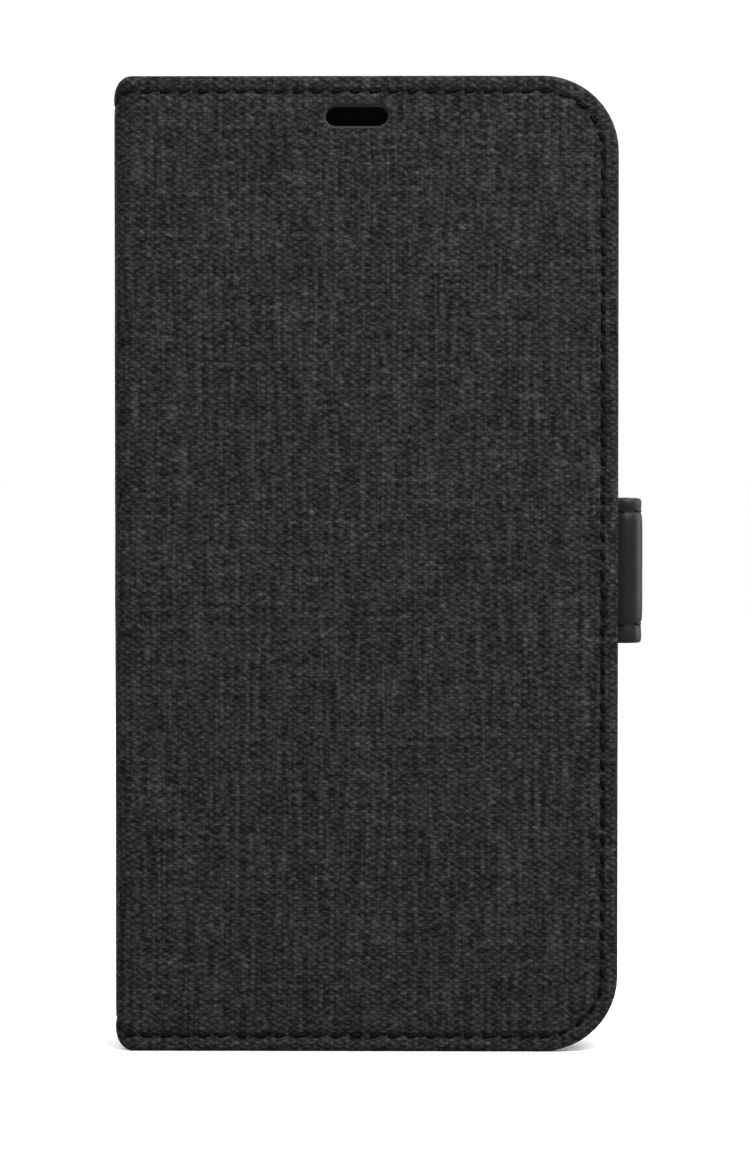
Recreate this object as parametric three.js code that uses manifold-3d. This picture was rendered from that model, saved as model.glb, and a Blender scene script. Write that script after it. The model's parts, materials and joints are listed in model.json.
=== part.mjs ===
// Folio wallet case for a large phone, closed and standing on its bottom edge.
// X runs to the right as seen from the front, Y from the front cover to the back cover, Z up.
// Lengths are in millimetres. Inside this file X starts at the spine's outer face and Y at the
// front cover's outer face; the exported group moves that corner so that the origin is the
// middle of the bottom of the whole case.

import * as THREE from 'three';
import { mergeVertices } from 'three/addons/utils/BufferGeometryUtils.js';
import Module from 'manifold-3d';

const wasm = await Module();
wasm.setup();

// ---- Driving dimensions ----

// Phone the shell is moulded for
const phoneWidth = 78.1;
const phoneHeight = 160.8;
const phoneThickness = 7.4;
const phoneCorner = 11.6;
const phoneClearance = 0.1;

// Moulded shell
const shellWall = 1.2;
const shellBack = 1.4;
const lipThickness = 0.6;
const lipOverhang = 0.8;
const cameraWidth = 37;
const cameraHeight = 39;
const cameraCorner = 9;
const cameraFromSide = 3.5; // phone's side to the camera window
const cameraFromTop = 2.5;
const collarWall = 1.2;
const collarProud = 0.3; // the collar stands this far out of the back cover
const windowRoom = 0.3; // collar to the window in the back cover
const weldOverlap = 0.2; // how far two moulded forms run into each other
const portWidth = 14;
const portHeight = 5.6;
const speakerWidth = 12;
const speakerHeight = 2.5;
const speakerSpacing = 17;
const switchFromTop = 26;
const switchLength = 9;
const switchHeight = 4.6;

// Moulded keys in the shell's side walls
const keyLength = 9.5;
const keyHeight = 3.4;
const keyProud = 0.5;
const keyClearance = 0.2;
const keyFlange = 0.6; // the key is this much wider inside, so it can't fall out
const keyFlangeThickness = 0.4;
const keySetback = 0.05; // key's inner face behind the phone's side
const keyTravelRoom = 0.1; // depth of the flange's pocket past the flange
const powerFromTop = 46;
const volumeUpFromTop = 38.5;
const volumeDownFromTop = 53;

// Layers of the cover
const clothThickness = 0.6;
const boardThickness = 1.0;
const spineBoardThickness = 0.6;
const liningThickness = 0.5;
const spineLiningThickness = 0.4;
const turnIn = 0.7; // width of the cloth turned over the board's edge
const layerGap = 0.05;
const edgeGap = 0.15;
const glueThickness = 0.3;
const glueInset = 4; // shell's outline to the adhesive pad's
const glueCorner = 8;
const pillTrim = 0.001; // keeps a short flat between the half circles of a pill-shaped outline

// Cover outline
const marginEnd = 2.3; // cover past the shell, top and bottom
const marginSide = 3.5; // cover past the shell at the free edge
const spineRoom = 0.9; // spine lining to shell
const coverCorner = 13.6;
const foldRadius = 3.2; // outer face of the cloth round each spine fold
const foldTrim = 2.7; // degrees left out at the end of each fold's arc
const foldClearance = 0.11;
const spineCorner = 3.0; // rounding of the spine's corners as seen from the front
const spineSetback = 2.4; // the spine's turned ends lie this far inside the cover's height
const slotWidth = 10.7;
const slotHeight = 3.45;
const slotFromSpine = 41.8;
const slotFromTop = 6.9;

// Seam along the cover's edges
const seamInsetEnd = 2.6;
const seamInsetSide = 2.8;
const threadWidth = 0.5;
const threadHeight = 0.28;
const grooveWidth = 0.8;
const grooveClearance = 0.05; // groove's floor below the thread
const threadFloat = 0.02; // thread's outer face below the cover's face

// Pockets inside the front cover
const pocketSheet = 0.5;
const pocketRim = 0.25; // room for cards between two sheets
const pocketCorner = 1;
const pocketRoomCorner = 0.5;
const pocketHem = 2; // width of the sewn edge that closes a pocket on three sides
const phoneRoom = 0.5; // top pocket to shell
const cashMouth = 14;
const cashTopFromTop = 16;
const cardMouths = [26, 34, 42];
const cardsBelowMiddle = 2; // card pockets' middle below the cover's
const cardPocketHeight = 96;
const pocketToSeam = 0.8;

// Strap that wraps the free edge
const strapWidth = 24.9;
const strapBelowMiddle = 1; // strap's middle below the cover's
const strapLeather = 0.65;
const strapLining = 0.7;
const strapBend = 3.3; // outer radius of both bends
const strapRoom = 1.0; // cover's edge to the line about which the strap bends
const strapFrontInset = 0.45; // strap's face behind the cover's face
const strapToBack = 0.2;
const strapStep = 0.1; // the bend's inner face lies this far behind the tip's
const strapJoinGap = 0.5;
const strapTrim = 1.8; // degrees left out at the end of each bend's arc
const anchorLength = 9;
const anchorThickness = 0.9;
const anchorRoom = 0.2; // strap to the notch it enters the cover by
const anchorStep = 0.1; // length of each end of the anchor's taper
const tipLength = 29.4;
const tipCorner = 6;
const tipLeather = 0.6;
const tipLining = 0.5;
const stiffenerThickness = 1.0;
const stiffenerInset = 4;
const stiffenerTipCorner = 3;
const stiffenerCorner = 1;
const stiffenerSetback = 1; // stiffener's square end inside the tip's
const strapSeamUpper = 2.2;
const strapSeamLower = 3.2;
const strapThreadWidth = 0.5;
const strapThreadHeight = 0.2;
const strapGrooveClearance = 0.03;
const magnetDiameter = 8;
const magnetThickness = 0.9;
const magnetSpacing = 12.5;
const magnetFromTip = 9;
const magnetClearance = 0.1;
const keeperWidth = 14;
const keeperHeight = 22;
const keeperThickness = 0.9;
const keeperCorner = 1.2;
const keeperRoom = 0.3;

// Fineness of the round stretches
const arcStep = 11.5; // degrees

// ---- Places worked out from the dimensions ----

const spineThickness =
  clothThickness + spineBoardThickness + spineLiningThickness + 2 * layerGap;
// The board's layer and the tip's stiffener layer hold metal or leather set into a hole of theirs.
const coreThickness = Math.max(
  boardThickness,
  anchorThickness + 2 * layerGap,
  keeperThickness + 2 * layerGap,
);
const tipCoreThickness = Math.max(stiffenerThickness, magnetThickness + 2 * layerGap);
const grooveDepth = threadFloat + threadHeight + grooveClearance;
const strapGrooveDepth = threadFloat + strapThreadHeight + strapGrooveClearance;
const panelThickness = clothThickness + coreThickness + liningThickness + 2 * layerGap;
const pocketPitch = pocketSheet + pocketRim + layerGap;

const shellWidth = phoneWidth + 2 * (phoneClearance + shellWall);
const shellHeight = phoneHeight + 2 * (phoneClearance + shellWall);
const shellLeft = spineThickness + spineRoom;
const shellRight = shellLeft + shellWidth;
const shellBottom = marginEnd;
const shellTop = shellBottom + shellHeight;
const shellFront = panelThickness + (1 + cardMouths.length) * pocketPitch + phoneRoom;
const cavityFront = shellFront + lipThickness;
const cavityBack = cavityFront + phoneThickness;
const shellRear = cavityBack + shellBack;
const cavityLeft = shellLeft + shellWall;
const cavityRight = shellRight - shellWall;
const cavityBottom = shellBottom + shellWall;
const cavityTop = shellTop - shellWall;
const cavityCorner = phoneCorner + phoneClearance;
const phoneTop = cavityTop - phoneClearance;
const phoneRight = cavityRight - phoneClearance;

const coverHeight = shellHeight + 2 * marginEnd;
const coverRight = shellRight + marginSide;
const backInner = shellRear + glueThickness + 2 * layerGap;
const coverDepth = backInner + panelThickness;

// Each spine fold turns about a point that keeps the cloth's length as it straightens.
const foldMiddleRadius = foldRadius - clothThickness / 2;
const foldPivot = foldRadius - foldMiddleRadius * (Math.PI / 4);
const foldEnd = foldRadius * (1 - Math.sin(THREE.MathUtils.degToRad(foldTrim)));
const panelLeft = foldPivot + Math.hypot(foldEnd - foldPivot, foldPivot) + foldClearance;

const cameraX = phoneRight - cameraFromSide - cameraWidth / 2;
const cameraZ = phoneTop - cameraFromTop - cameraHeight / 2;

const strapSide = strapLeather + strapLining + layerGap;
const strapInner = strapBend - strapSide;
const strapFrontY = strapFrontInset + strapBend;
const strapBackY = coverDepth + strapToBack + strapStep - strapInner;
const strapCentreX = coverRight + strapRoom;
const tipInner = coverDepth + strapToBack;
const tipThickness = tipLining + tipCoreThickness + tipLeather + 2 * layerGap;
const tipRight = strapCentreX - strapJoinGap;
const tipLeft = tipRight - tipLength;
const strapMiddle = coverHeight / 2 - strapBelowMiddle;
const strapBottom = strapMiddle - strapWidth / 2;
const strapTop = strapMiddle + strapWidth / 2;
const magnetX = tipLeft + magnetFromTip;

const overallWidth = strapCentreX + strapBend;
const overallDepth = tipInner + tipThickness;

// ---- Materials ----

const cloth = new THREE.MeshStandardMaterial({ color: 0x2e2e2f, roughness: 0.95, metalness: 0 });
const board = new THREE.MeshStandardMaterial({ color: 0x2c2a28, roughness: 0.9, metalness: 0 });
const lining = new THREE.MeshStandardMaterial({ color: 0x232324, roughness: 0.85, metalness: 0 });
const thread = new THREE.MeshStandardMaterial({ color: 0x0d0d0e, roughness: 0.6, metalness: 0 });
const shell = new THREE.MeshStandardMaterial({ color: 0x161617, roughness: 0.55, metalness: 0 });
const leather = new THREE.MeshStandardMaterial({ color: 0x1e1e1f, roughness: 0.42, metalness: 0 });
const steel = new THREE.MeshStandardMaterial({ color: 0xb9bbbe, roughness: 0.35, metalness: 1 });
const magnet = new THREE.MeshStandardMaterial({ color: 0xc9c9c7, roughness: 0.25, metalness: 1 });
const adhesive = new THREE.MeshStandardMaterial({ color: 0x3a3a3c, roughness: 0.7, metalness: 0 });

// ---- Outlines ----

/** Points on a circle between two angles in degrees. */
function arcPoints(cx, cy, radius, from, to) {
  const steps = Math.max(1, Math.ceil(Math.abs(to - from) / arcStep));
  const points = [];
  for (let i = 0; i <= steps; i += 1) {
    const angle = THREE.MathUtils.degToRad(from + ((to - from) * i) / steps);
    points.push(new THREE.Vector2(cx + radius * Math.cos(angle), cy + radius * Math.sin(angle)));
  }
  return points;
}

/** A corner of an outline: a plain point where the radius is nothing, else an arc. */
function corner(x, y, radius, signX, signY, from) {
  if (radius <= 0) {
    return [new THREE.Vector2(x, y)];
  }
  return arcPoints(x - signX * radius, y - signY * radius, radius, from, from + 90);
}

/** A rectangle with a radius at each corner: lower left, lower right, upper right, upper left. */
function rectangle(left, bottom, right, top, radii = [0, 0, 0, 0]) {
  const [lowerLeft, lowerRight, upperRight, upperLeft] = radii;
  return new THREE.Shape([
    ...corner(left, bottom, lowerLeft, -1, -1, 180),
    ...corner(right, bottom, lowerRight, 1, -1, 270),
    ...corner(right, top, upperRight, 1, 1, 0),
    ...corner(left, top, upperLeft, -1, 1, 90),
  ]);
}

/** The same radius at all four corners, placed by its middle. */
function roundedBox(cx, cy, width, height, radius) {
  return rectangle(cx - width / 2, cy - height / 2, cx + width / 2, cy + height / 2, [
    radius,
    radius,
    radius,
    radius,
  ]);
}

/** A cover panel, set in by a margin from the cover's own edge on its three free sides. */
function panelOutline(left, margin) {
  const radius = coverCorner - margin;
  return rectangle(left, margin, coverRight - margin, coverHeight - margin, [0, radius, radius, 0]);
}

/** A band of one width that runs along the panel's top, free side and bottom. */
function seamOutline(left, width) {
  const radius = coverCorner - seamInsetSide;
  const edge = (grow) => [
    new THREE.Vector2(left, seamInsetEnd - grow),
    ...corner(coverRight - seamInsetSide + grow, seamInsetEnd - grow, radius + grow, 1, -1, 270),
    ...corner(
      coverRight - seamInsetSide + grow,
      coverHeight - seamInsetEnd + grow,
      radius + grow,
      1,
      1,
      0,
    ),
    new THREE.Vector2(left, coverHeight - seamInsetEnd + grow),
  ];
  return new THREE.Shape([...edge(width / 2), ...edge(-width / 2).reverse()]);
}

/** Half of a bend's section in X and Y: round at the front, straight along the side, round behind. */
function bendPath(centreX, frontY, backY, radius, side, trim) {
  const quarter = 90 - trim;
  const mirror = (point) => new THREE.Vector2(centreX + side * (point.x - centreX), point.y);
  return [
    ...arcPoints(centreX, frontY, radius, -quarter, 0),
    ...arcPoints(centreX, backY, radius, 0, quarter),
  ].map(mirror);
}

/** A layer that bends round an edge, between two radii. */
function bendOutline({ centreX, frontY, backY, outer, inner, side, trim }) {
  const outside = bendPath(centreX, frontY, backY, outer, side, trim);
  const inside = bendPath(centreX, frontY, backY, inner, side, trim);
  return new THREE.Shape([...outside, ...inside.reverse()]);
}

function spineBend(outer, inner) {
  return bendOutline({
    centreX: foldRadius,
    frontY: foldRadius,
    backY: coverDepth - foldRadius,
    outer,
    inner,
    side: -1,
    trim: foldTrim,
  });
}

function strapBendOutline(outer, inner, trim = strapTrim) {
  return bendOutline({
    centreX: strapCentreX,
    frontY: strapFrontY,
    backY: strapBackY,
    outer,
    inner,
    side: 1,
    trim,
  });
}

// ---- Solids ----

/** A flat piece: an outline in X and Z, from one Y to another. */
function sheet(outline, front, back) {
  const geometry = new THREE.ExtrudeGeometry(outline, { depth: back - front, bevelEnabled: false });
  return geometry.rotateX(Math.PI / 2).translate(0, back, 0);
}

/** An outline in X and Y, from one height to another. */
function upright(outline, bottom, top) {
  const geometry = new THREE.ExtrudeGeometry(outline, { depth: top - bottom, bevelEnabled: false });
  return geometry.translate(0, 0, bottom);
}

/** An outline in Y and Z, from one X to another. */
function crosswise(outline, left, right) {
  const geometry = new THREE.ExtrudeGeometry(outline, { depth: right - left, bevelEnabled: false });
  return geometry.rotateX(Math.PI / 2).rotateZ(Math.PI / 2).translate(left, 0, 0);
}

function toSolid(geometry) {
  const bare = geometry.clone();
  bare.deleteAttribute('normal');
  bare.deleteAttribute('uv');
  const merged = mergeVertices(bare, 1e-4);
  return new wasm.Manifold(
    new wasm.Mesh({
      numProp: 3,
      vertProperties: new Float32Array(merged.attributes.position.array),
      triVerts: new Uint32Array(merged.index.array),
    }),
  );
}

function toGeometry(solid) {
  const mesh = solid.getMesh();
  const geometry = new THREE.BufferGeometry();
  geometry.setAttribute('position', new THREE.BufferAttribute(mesh.vertProperties, 3));
  geometry.setIndex(new THREE.BufferAttribute(mesh.triVerts, 1));
  geometry.computeVertexNormals();
  return geometry;
}

function cut(body, ...tools) {
  return toGeometry(tools.reduce((solid, tool) => solid.subtract(toSolid(tool)), toSolid(body)));
}

function join(body, ...others) {
  return toGeometry(others.reduce((solid, other) => solid.add(toSolid(other)), toSolid(body)));
}

function common(body, other) {
  return toGeometry(toSolid(body).intersect(toSolid(other)));
}

function piece(name, geometry, material) {
  const mesh = new THREE.Mesh(geometry, material);
  mesh.name = name;
  return mesh;
}

// ---- Cover panels, front and back ----

const past = 1; // how far a cutting tool runs past the face that it cuts

/** The four levels of a panel, from its outer face inwards, for the front or the back cover. */
function panelLevels(isFront) {
  const place = (depth) => (isFront ? depth : coverDepth - depth);
  const span = (from, to) => (isFront ? [place(from), place(to)] : [place(to), place(from)]);
  const boardFrom = clothThickness + layerGap;
  const boardTo = boardFrom + boardThickness;
  return {
    span,
    cloth: span(0, clothThickness),
    turned: span(0, panelThickness - layerGap),
    inside: span(clothThickness, panelThickness + past),
    board: span(boardFrom, boardTo),
    lining: span(panelThickness - liningThickness, panelThickness),
    outerGroove: span(-past, grooveDepth),
    outerThread: span(threadFloat, threadFloat + threadHeight),
    innerGroove: span(panelThickness - grooveDepth, panelThickness + past),
    innerThread: span(
      panelThickness - threadFloat - threadHeight,
      panelThickness - threadFloat,
    ),
    through: span(-past, panelThickness + past),
  };
}

/** Cloth turned over the board on the three free sides, with its groove and its window. */
function panelCloth(level, window, ...extra) {
  return cut(
    sheet(panelOutline(panelLeft, 0), ...level.turned),
    sheet(panelOutline(panelLeft - past, turnIn), ...level.inside),
    sheet(seamOutline(panelLeft - past, grooveWidth), ...level.outerGroove),
    sheet(window, ...level.through),
    ...extra,
  );
}

function panelBoard(level, window, ...extra) {
  const outline = panelOutline(panelLeft + past, turnIn + edgeGap);
  return cut(sheet(outline, ...level.board), sheet(window, ...level.through), ...extra);
}

function panelLining(level, window, ...extra) {
  return cut(
    sheet(panelOutline(panelLeft, turnIn + edgeGap), ...level.lining),
    sheet(seamOutline(panelLeft - past, grooveWidth), ...level.innerGroove),
    sheet(window, ...level.through),
    ...extra,
  );
}

function frontCover() {
  const group = new THREE.Group();
  const level = panelLevels(true);
  const slot = roundedBox(
    slotFromSpine,
    coverHeight - slotFromTop,
    slotWidth,
    slotHeight,
    slotHeight / 2 - pillTrim,
  );
  const anchorLeft = coverRight - anchorLength;
  const exit = rectangle(
    coverRight - turnIn - past,
    strapBottom - anchorRoom,
    coverRight + past,
    strapTop + anchorRoom,
  );
  const notch = rectangle(
    anchorLeft - anchorRoom,
    strapBottom - anchorRoom,
    coverRight + past,
    strapTop + anchorRoom,
  );
  const exitTool = sheet(exit, clothThickness, panelThickness + past);
  group.add(piece('front_fabric', panelCloth(level, slot, exitTool), cloth));
  group.add(piece('front_board', panelBoard(level, slot, sheet(notch, ...level.through)), board));
  group.add(piece('front_lining', panelLining(level, slot), lining));
  const seam = seamOutline(panelLeft, threadWidth);
  group.add(piece('front_needle_thread', sheet(seam, ...level.outerThread), thread));
  group.add(piece('front_bobbin_thread', sheet(seam, ...level.innerThread), thread));
  group.add(...pockets());

  // The strap's sewn-in end is pared thin, and swells to its full thickness outside the cover.
  const anchorFront = clothThickness + layerGap * 2;
  const anchorBack = anchorFront + anchorThickness;
  const anchorEnd = strapCentreX - strapJoinGap;
  const strapFace = strapFrontInset;
  const anchorSection = new THREE.Shape([
    new THREE.Vector2(anchorLeft, anchorFront),
    new THREE.Vector2(coverRight - anchorStep, anchorFront),
    new THREE.Vector2(anchorEnd - anchorStep, strapFace),
    new THREE.Vector2(anchorEnd, strapFace),
    new THREE.Vector2(anchorEnd, strapFace + strapSide),
    new THREE.Vector2(anchorEnd - anchorStep, strapFace + strapSide),
    new THREE.Vector2(coverRight - anchorStep, anchorBack),
    new THREE.Vector2(anchorLeft, anchorBack),
  ]);
  group.add(piece('strap_anchor', upright(anchorSection, strapBottom, strapTop), leather));
  return group;
}

/** One pocket: a sheet on a hem that closes it on every side but its mouth, which faces the spine. */
function pocket(level, left, bottom, right, top, outerRadius) {
  const front = panelThickness + layerGap + level * pocketPitch;
  const radii = [0, outerRadius, pocketCorner, 0];
  const inner = Math.max(outerRadius - pocketHem, pocketRoomCorner);
  const room = rectangle(left - past, bottom + pocketHem, right - pocketHem, top - pocketHem, [
    0,
    inner,
    pocketRoomCorner,
    0,
  ]);
  return cut(
    sheet(rectangle(left, bottom, right, top, radii), front, front + pocketRim + pocketSheet),
    sheet(room, front - past, front + pocketRim),
  );
}

function pockets() {
  const right = coverRight - seamInsetSide - pocketToSeam;
  const bottom = seamInsetEnd + pocketToSeam;
  const cornerRadius = coverCorner - seamInsetSide - pocketToSeam;
  const cashTop = coverHeight - cashTopFromTop;
  const cardBottom = coverHeight / 2 - cardsBelowMiddle - cardPocketHeight / 2;
  const cash = pocket(0, cashMouth, bottom, right, cashTop, cornerRadius);
  const pieces = [piece('cash_pocket', cash, lining)];
  cardMouths.forEach((mouth, index) => {
    const geometry = pocket(
      index + 1,
      mouth,
      cardBottom,
      right - pocketToSeam,
      cardBottom + cardPocketHeight,
      pocketCorner,
    );
    pieces.push(piece(`card_pocket_${index + 1}`, geometry, lining));
  });
  return pieces;
}

function backCover() {
  const group = new THREE.Group();
  const level = panelLevels(false);
  const collarWidth = cameraWidth + 2 * collarWall;
  const collarHeight = cameraHeight + 2 * collarWall;
  const window = roundedBox(
    cameraX,
    cameraZ,
    collarWidth + 2 * windowRoom,
    collarHeight + 2 * windowRoom,
    cameraCorner + collarWall + windowRoom,
  );
  const keeperHole = roundedBox(
    magnetX,
    strapMiddle,
    keeperWidth + 2 * keeperRoom,
    keeperHeight + 2 * keeperRoom,
    keeperCorner + keeperRoom,
  );
  const keeperBack = coverDepth - clothThickness - 2 * layerGap;
  group.add(piece('back_fabric', panelCloth(level, window), cloth));
  group.add(
    piece('back_board', panelBoard(level, window, sheet(keeperHole, ...level.through)), board),
  );
  group.add(piece('back_lining', panelLining(level, window), lining));
  const seam = seamOutline(panelLeft, threadWidth);
  group.add(piece('back_needle_thread', sheet(seam, ...level.outerThread), thread));
  group.add(piece('back_bobbin_thread', sheet(seam, ...level.innerThread), thread));
  const keeper = roundedBox(magnetX, strapMiddle, keeperWidth, keeperHeight, keeperCorner);
  group.add(
    piece('back_keeper_plate', sheet(keeper, keeperBack - keeperThickness, keeperBack), steel),
  );
  group.add(piece('shell_glue_pad', gluePad(window), adhesive));
  group.add(piece('phone_shell', phoneShell(), shell));
  return group;
}

/** Adhesive pad between shell and lining, a little smaller than the shell's flat back. */
function gluePad(window) {
  const outline = rectangle(
    shellLeft + glueInset,
    shellBottom + glueInset,
    shellRight - glueInset,
    shellTop - glueInset,
    [glueCorner, glueCorner, glueCorner, glueCorner],
  );
  const front = shellRear + layerGap;
  return cut(
    sheet(outline, front, front + glueThickness),
    sheet(window, front - past, front + glueThickness + past),
  );
}

// ---- Moulded shell and its keys ----

const shellMiddleX = (shellLeft + shellRight) / 2;
const shellMiddleY = (cavityFront + cavityBack) / 2;

/** One key's window or body in the Y and Z plane. */
function keyOutline(z, grow) {
  const height = keyHeight + 2 * grow;
  const length = keyLength + 2 * grow;
  return roundedBox(shellMiddleY, z, height, length, height / 2 - pillTrim);
}

/** A window through a side wall, wider on the inside for the key's flange. */
function keyWindow(z, wallInner, outward) {
  const wallOuter = wallInner + outward * shellWall;
  const flangeDepth = keyFlangeThickness + keyTravelRoom;
  const narrow = [wallInner - outward * past, wallOuter + outward * past].sort((a, b) => a - b);
  const wide = [wallInner - outward * past, wallInner + outward * flangeDepth].sort(
    (a, b) => a - b,
  );
  return [
    crosswise(keyOutline(z, keyClearance), ...narrow),
    crosswise(keyOutline(z, keyFlange + keyClearance), ...wide),
  ];
}

function key(z, wallInner, outward) {
  const wallOuter = wallInner + outward * shellWall;
  const back = wallInner + outward * keySetback;
  const body = [back, wallOuter + outward * keyProud].sort((a, b) => a - b);
  const flange = [back, back + outward * keyFlangeThickness].sort((a, b) => a - b);
  return join(
    crosswise(keyOutline(z, 0), ...body),
    crosswise(keyOutline(z, keyFlange), ...flange),
  );
}

const keys = {
  power_key: { z: phoneTop - powerFromTop, wallInner: cavityRight, outward: 1 },
  volume_up_key: { z: phoneTop - volumeUpFromTop, wallInner: cavityLeft, outward: -1 },
  volume_down_key: { z: phoneTop - volumeDownFromTop, wallInner: cavityLeft, outward: -1 },
};

function phoneShell() {
  const outer = roundedBox(
    shellMiddleX,
    shellBottom + shellHeight / 2,
    shellWidth,
    shellHeight,
    cavityCorner + shellWall,
  );
  const cavityWidth = cavityRight - cavityLeft;
  const cavityHeight = cavityTop - cavityBottom;
  const cavityMiddleZ = (cavityTop + cavityBottom) / 2;
  const cavity = roundedBox(shellMiddleX, cavityMiddleZ, cavityWidth, cavityHeight, cavityCorner);
  const opening = roundedBox(
    shellMiddleX,
    cavityMiddleZ,
    cavityWidth - 2 * lipOverhang,
    cavityHeight - 2 * lipOverhang,
    cavityCorner - lipOverhang,
  );
  const collar = roundedBox(
    cameraX,
    cameraZ,
    cameraWidth + 2 * collarWall,
    cameraHeight + 2 * collarWall,
    cameraCorner + collarWall,
  );
  const camera = roundedBox(cameraX, cameraZ, cameraWidth, cameraHeight, cameraCorner);
  const collarBack = coverDepth + collarProud;
  const port = roundedBox(shellMiddleX, shellMiddleY, portWidth, portHeight, portHeight / 2 - pillTrim);
  const speakers = [-1, 1].map((side) =>
    roundedBox(
      shellMiddleX + side * speakerSpacing,
      shellMiddleY,
      speakerWidth,
      speakerHeight,
      speakerHeight / 2 - pillTrim,
    ),
  );
  const switchWindow = roundedBox(
    shellMiddleY,
    phoneTop - switchFromTop,
    switchHeight,
    switchLength,
    switchHeight / 2 - pillTrim,
  );
  const body = join(
    sheet(outer, shellFront, shellRear),
    sheet(collar, shellRear - weldOverlap, collarBack),
  );
  return cut(
    body,
    sheet(cavity, cavityFront, cavityBack),
    sheet(opening, shellFront - past, cavityFront + weldOverlap / 2),
    sheet(camera, cavityBack - past, collarBack + past),
    ...[port, ...speakers].map((hole) => upright(hole, shellBottom - past, cavityBottom + past)),
    crosswise(switchWindow, shellLeft - past, cavityLeft + past),
    ...Object.values(keys).flatMap(({ z, wallInner, outward }) => keyWindow(z, wallInner, outward)),
  );
}

// ---- Spine ----

function spine() {
  const group = new THREE.Group();
  const frontEnd = foldRadius;
  const backEnd = coverDepth - foldRadius;
  const cloak = upright(spineBend(foldRadius, foldRadius - clothThickness), 0, coverHeight);
  const turnBack = spineThickness - layerGap;
  const endCaps = [spineSetback, coverHeight - spineSetback - turnIn].map((z) =>
    upright(rectangle(clothThickness / 2, frontEnd, turnBack, backEnd), z, z + turnIn),
  );
  const trimmed = common(
    join(cloak, ...endCaps),
    sheet(
      rectangle(0, 0, foldRadius + past, coverHeight, [spineCorner, 0, 0, spineCorner]),
      -past,
      coverDepth + past,
    ),
  );
  const seamHeights = {
    spine_bottom_thread: seamInsetEnd,
    spine_top_thread: coverHeight - seamInsetEnd,
  };
  const grooves = Object.values(seamHeights).map((z) =>
    upright(
      bendOutline({
        centreX: foldRadius,
        frontY: foldRadius,
        backY: coverDepth - foldRadius,
        outer: foldRadius + past,
        inner: foldRadius - grooveDepth,
        side: -1,
        trim: 0,
      }),
      z - grooveWidth / 2,
      z + grooveWidth / 2,
    ),
  );
  group.add(piece('spine_fabric', cut(trimmed, ...grooves), cloth));

  const boardLeft = clothThickness + layerGap;
  const liningLeft = boardLeft + spineBoardThickness + layerGap;
  const low = spineSetback + turnIn + edgeGap;
  const high = coverHeight - low;
  const boardSection = rectangle(
    boardLeft,
    frontEnd + edgeGap,
    boardLeft + spineBoardThickness,
    backEnd - edgeGap,
  );
  const liningSection = rectangle(liningLeft, frontEnd, liningLeft + spineLiningThickness, backEnd);
  group.add(piece('spine_board', upright(boardSection, low, high), board));
  group.add(piece('spine_lining', upright(liningSection, low, high), lining));
  for (const [name, z] of Object.entries(seamHeights)) {
    const outer = foldRadius - threadFloat;
    const section = spineBend(outer, outer - threadHeight);
    const run = upright(section, z - threadWidth / 2, z + threadWidth / 2);
    group.add(piece(name, run, thread));
  }
  return group;
}

// ---- Strap ----

function strap() {
  const group = new THREE.Group();
  const leatherInner = strapBend - strapLeather;
  const seams = {
    strap_side_thread_lower: strapBottom + strapSeamLower,
    strap_side_thread_upper: strapTop - strapSeamUpper,
  };
  const sideGrooves = Object.values(seams).map((z) =>
    upright(
      strapBendOutline(strapBend + past, strapBend - strapGrooveDepth, 0),
      z - grooveWidth / 2,
      z + grooveWidth / 2,
    ),
  );
  const outerLayer = upright(strapBendOutline(strapBend, leatherInner), strapBottom, strapTop);
  const innerLayer = strapBendOutline(leatherInner - layerGap, strapInner);
  group.add(piece('strap_side_leather', cut(outerLayer, ...sideGrooves), leather));
  group.add(piece('strap_side_lining', upright(innerLayer, strapBottom, strapTop), leather));
  for (const [name, z] of Object.entries(seams)) {
    const outer = strapBend - threadFloat;
    const section = strapBendOutline(outer, outer - strapThreadHeight);
    const run = upright(section, z - strapThreadWidth / 2, z + strapThreadWidth / 2);
    group.add(piece(name, run, thread));
  }
  group.add(...strapTip());
  return group;
}

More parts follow.
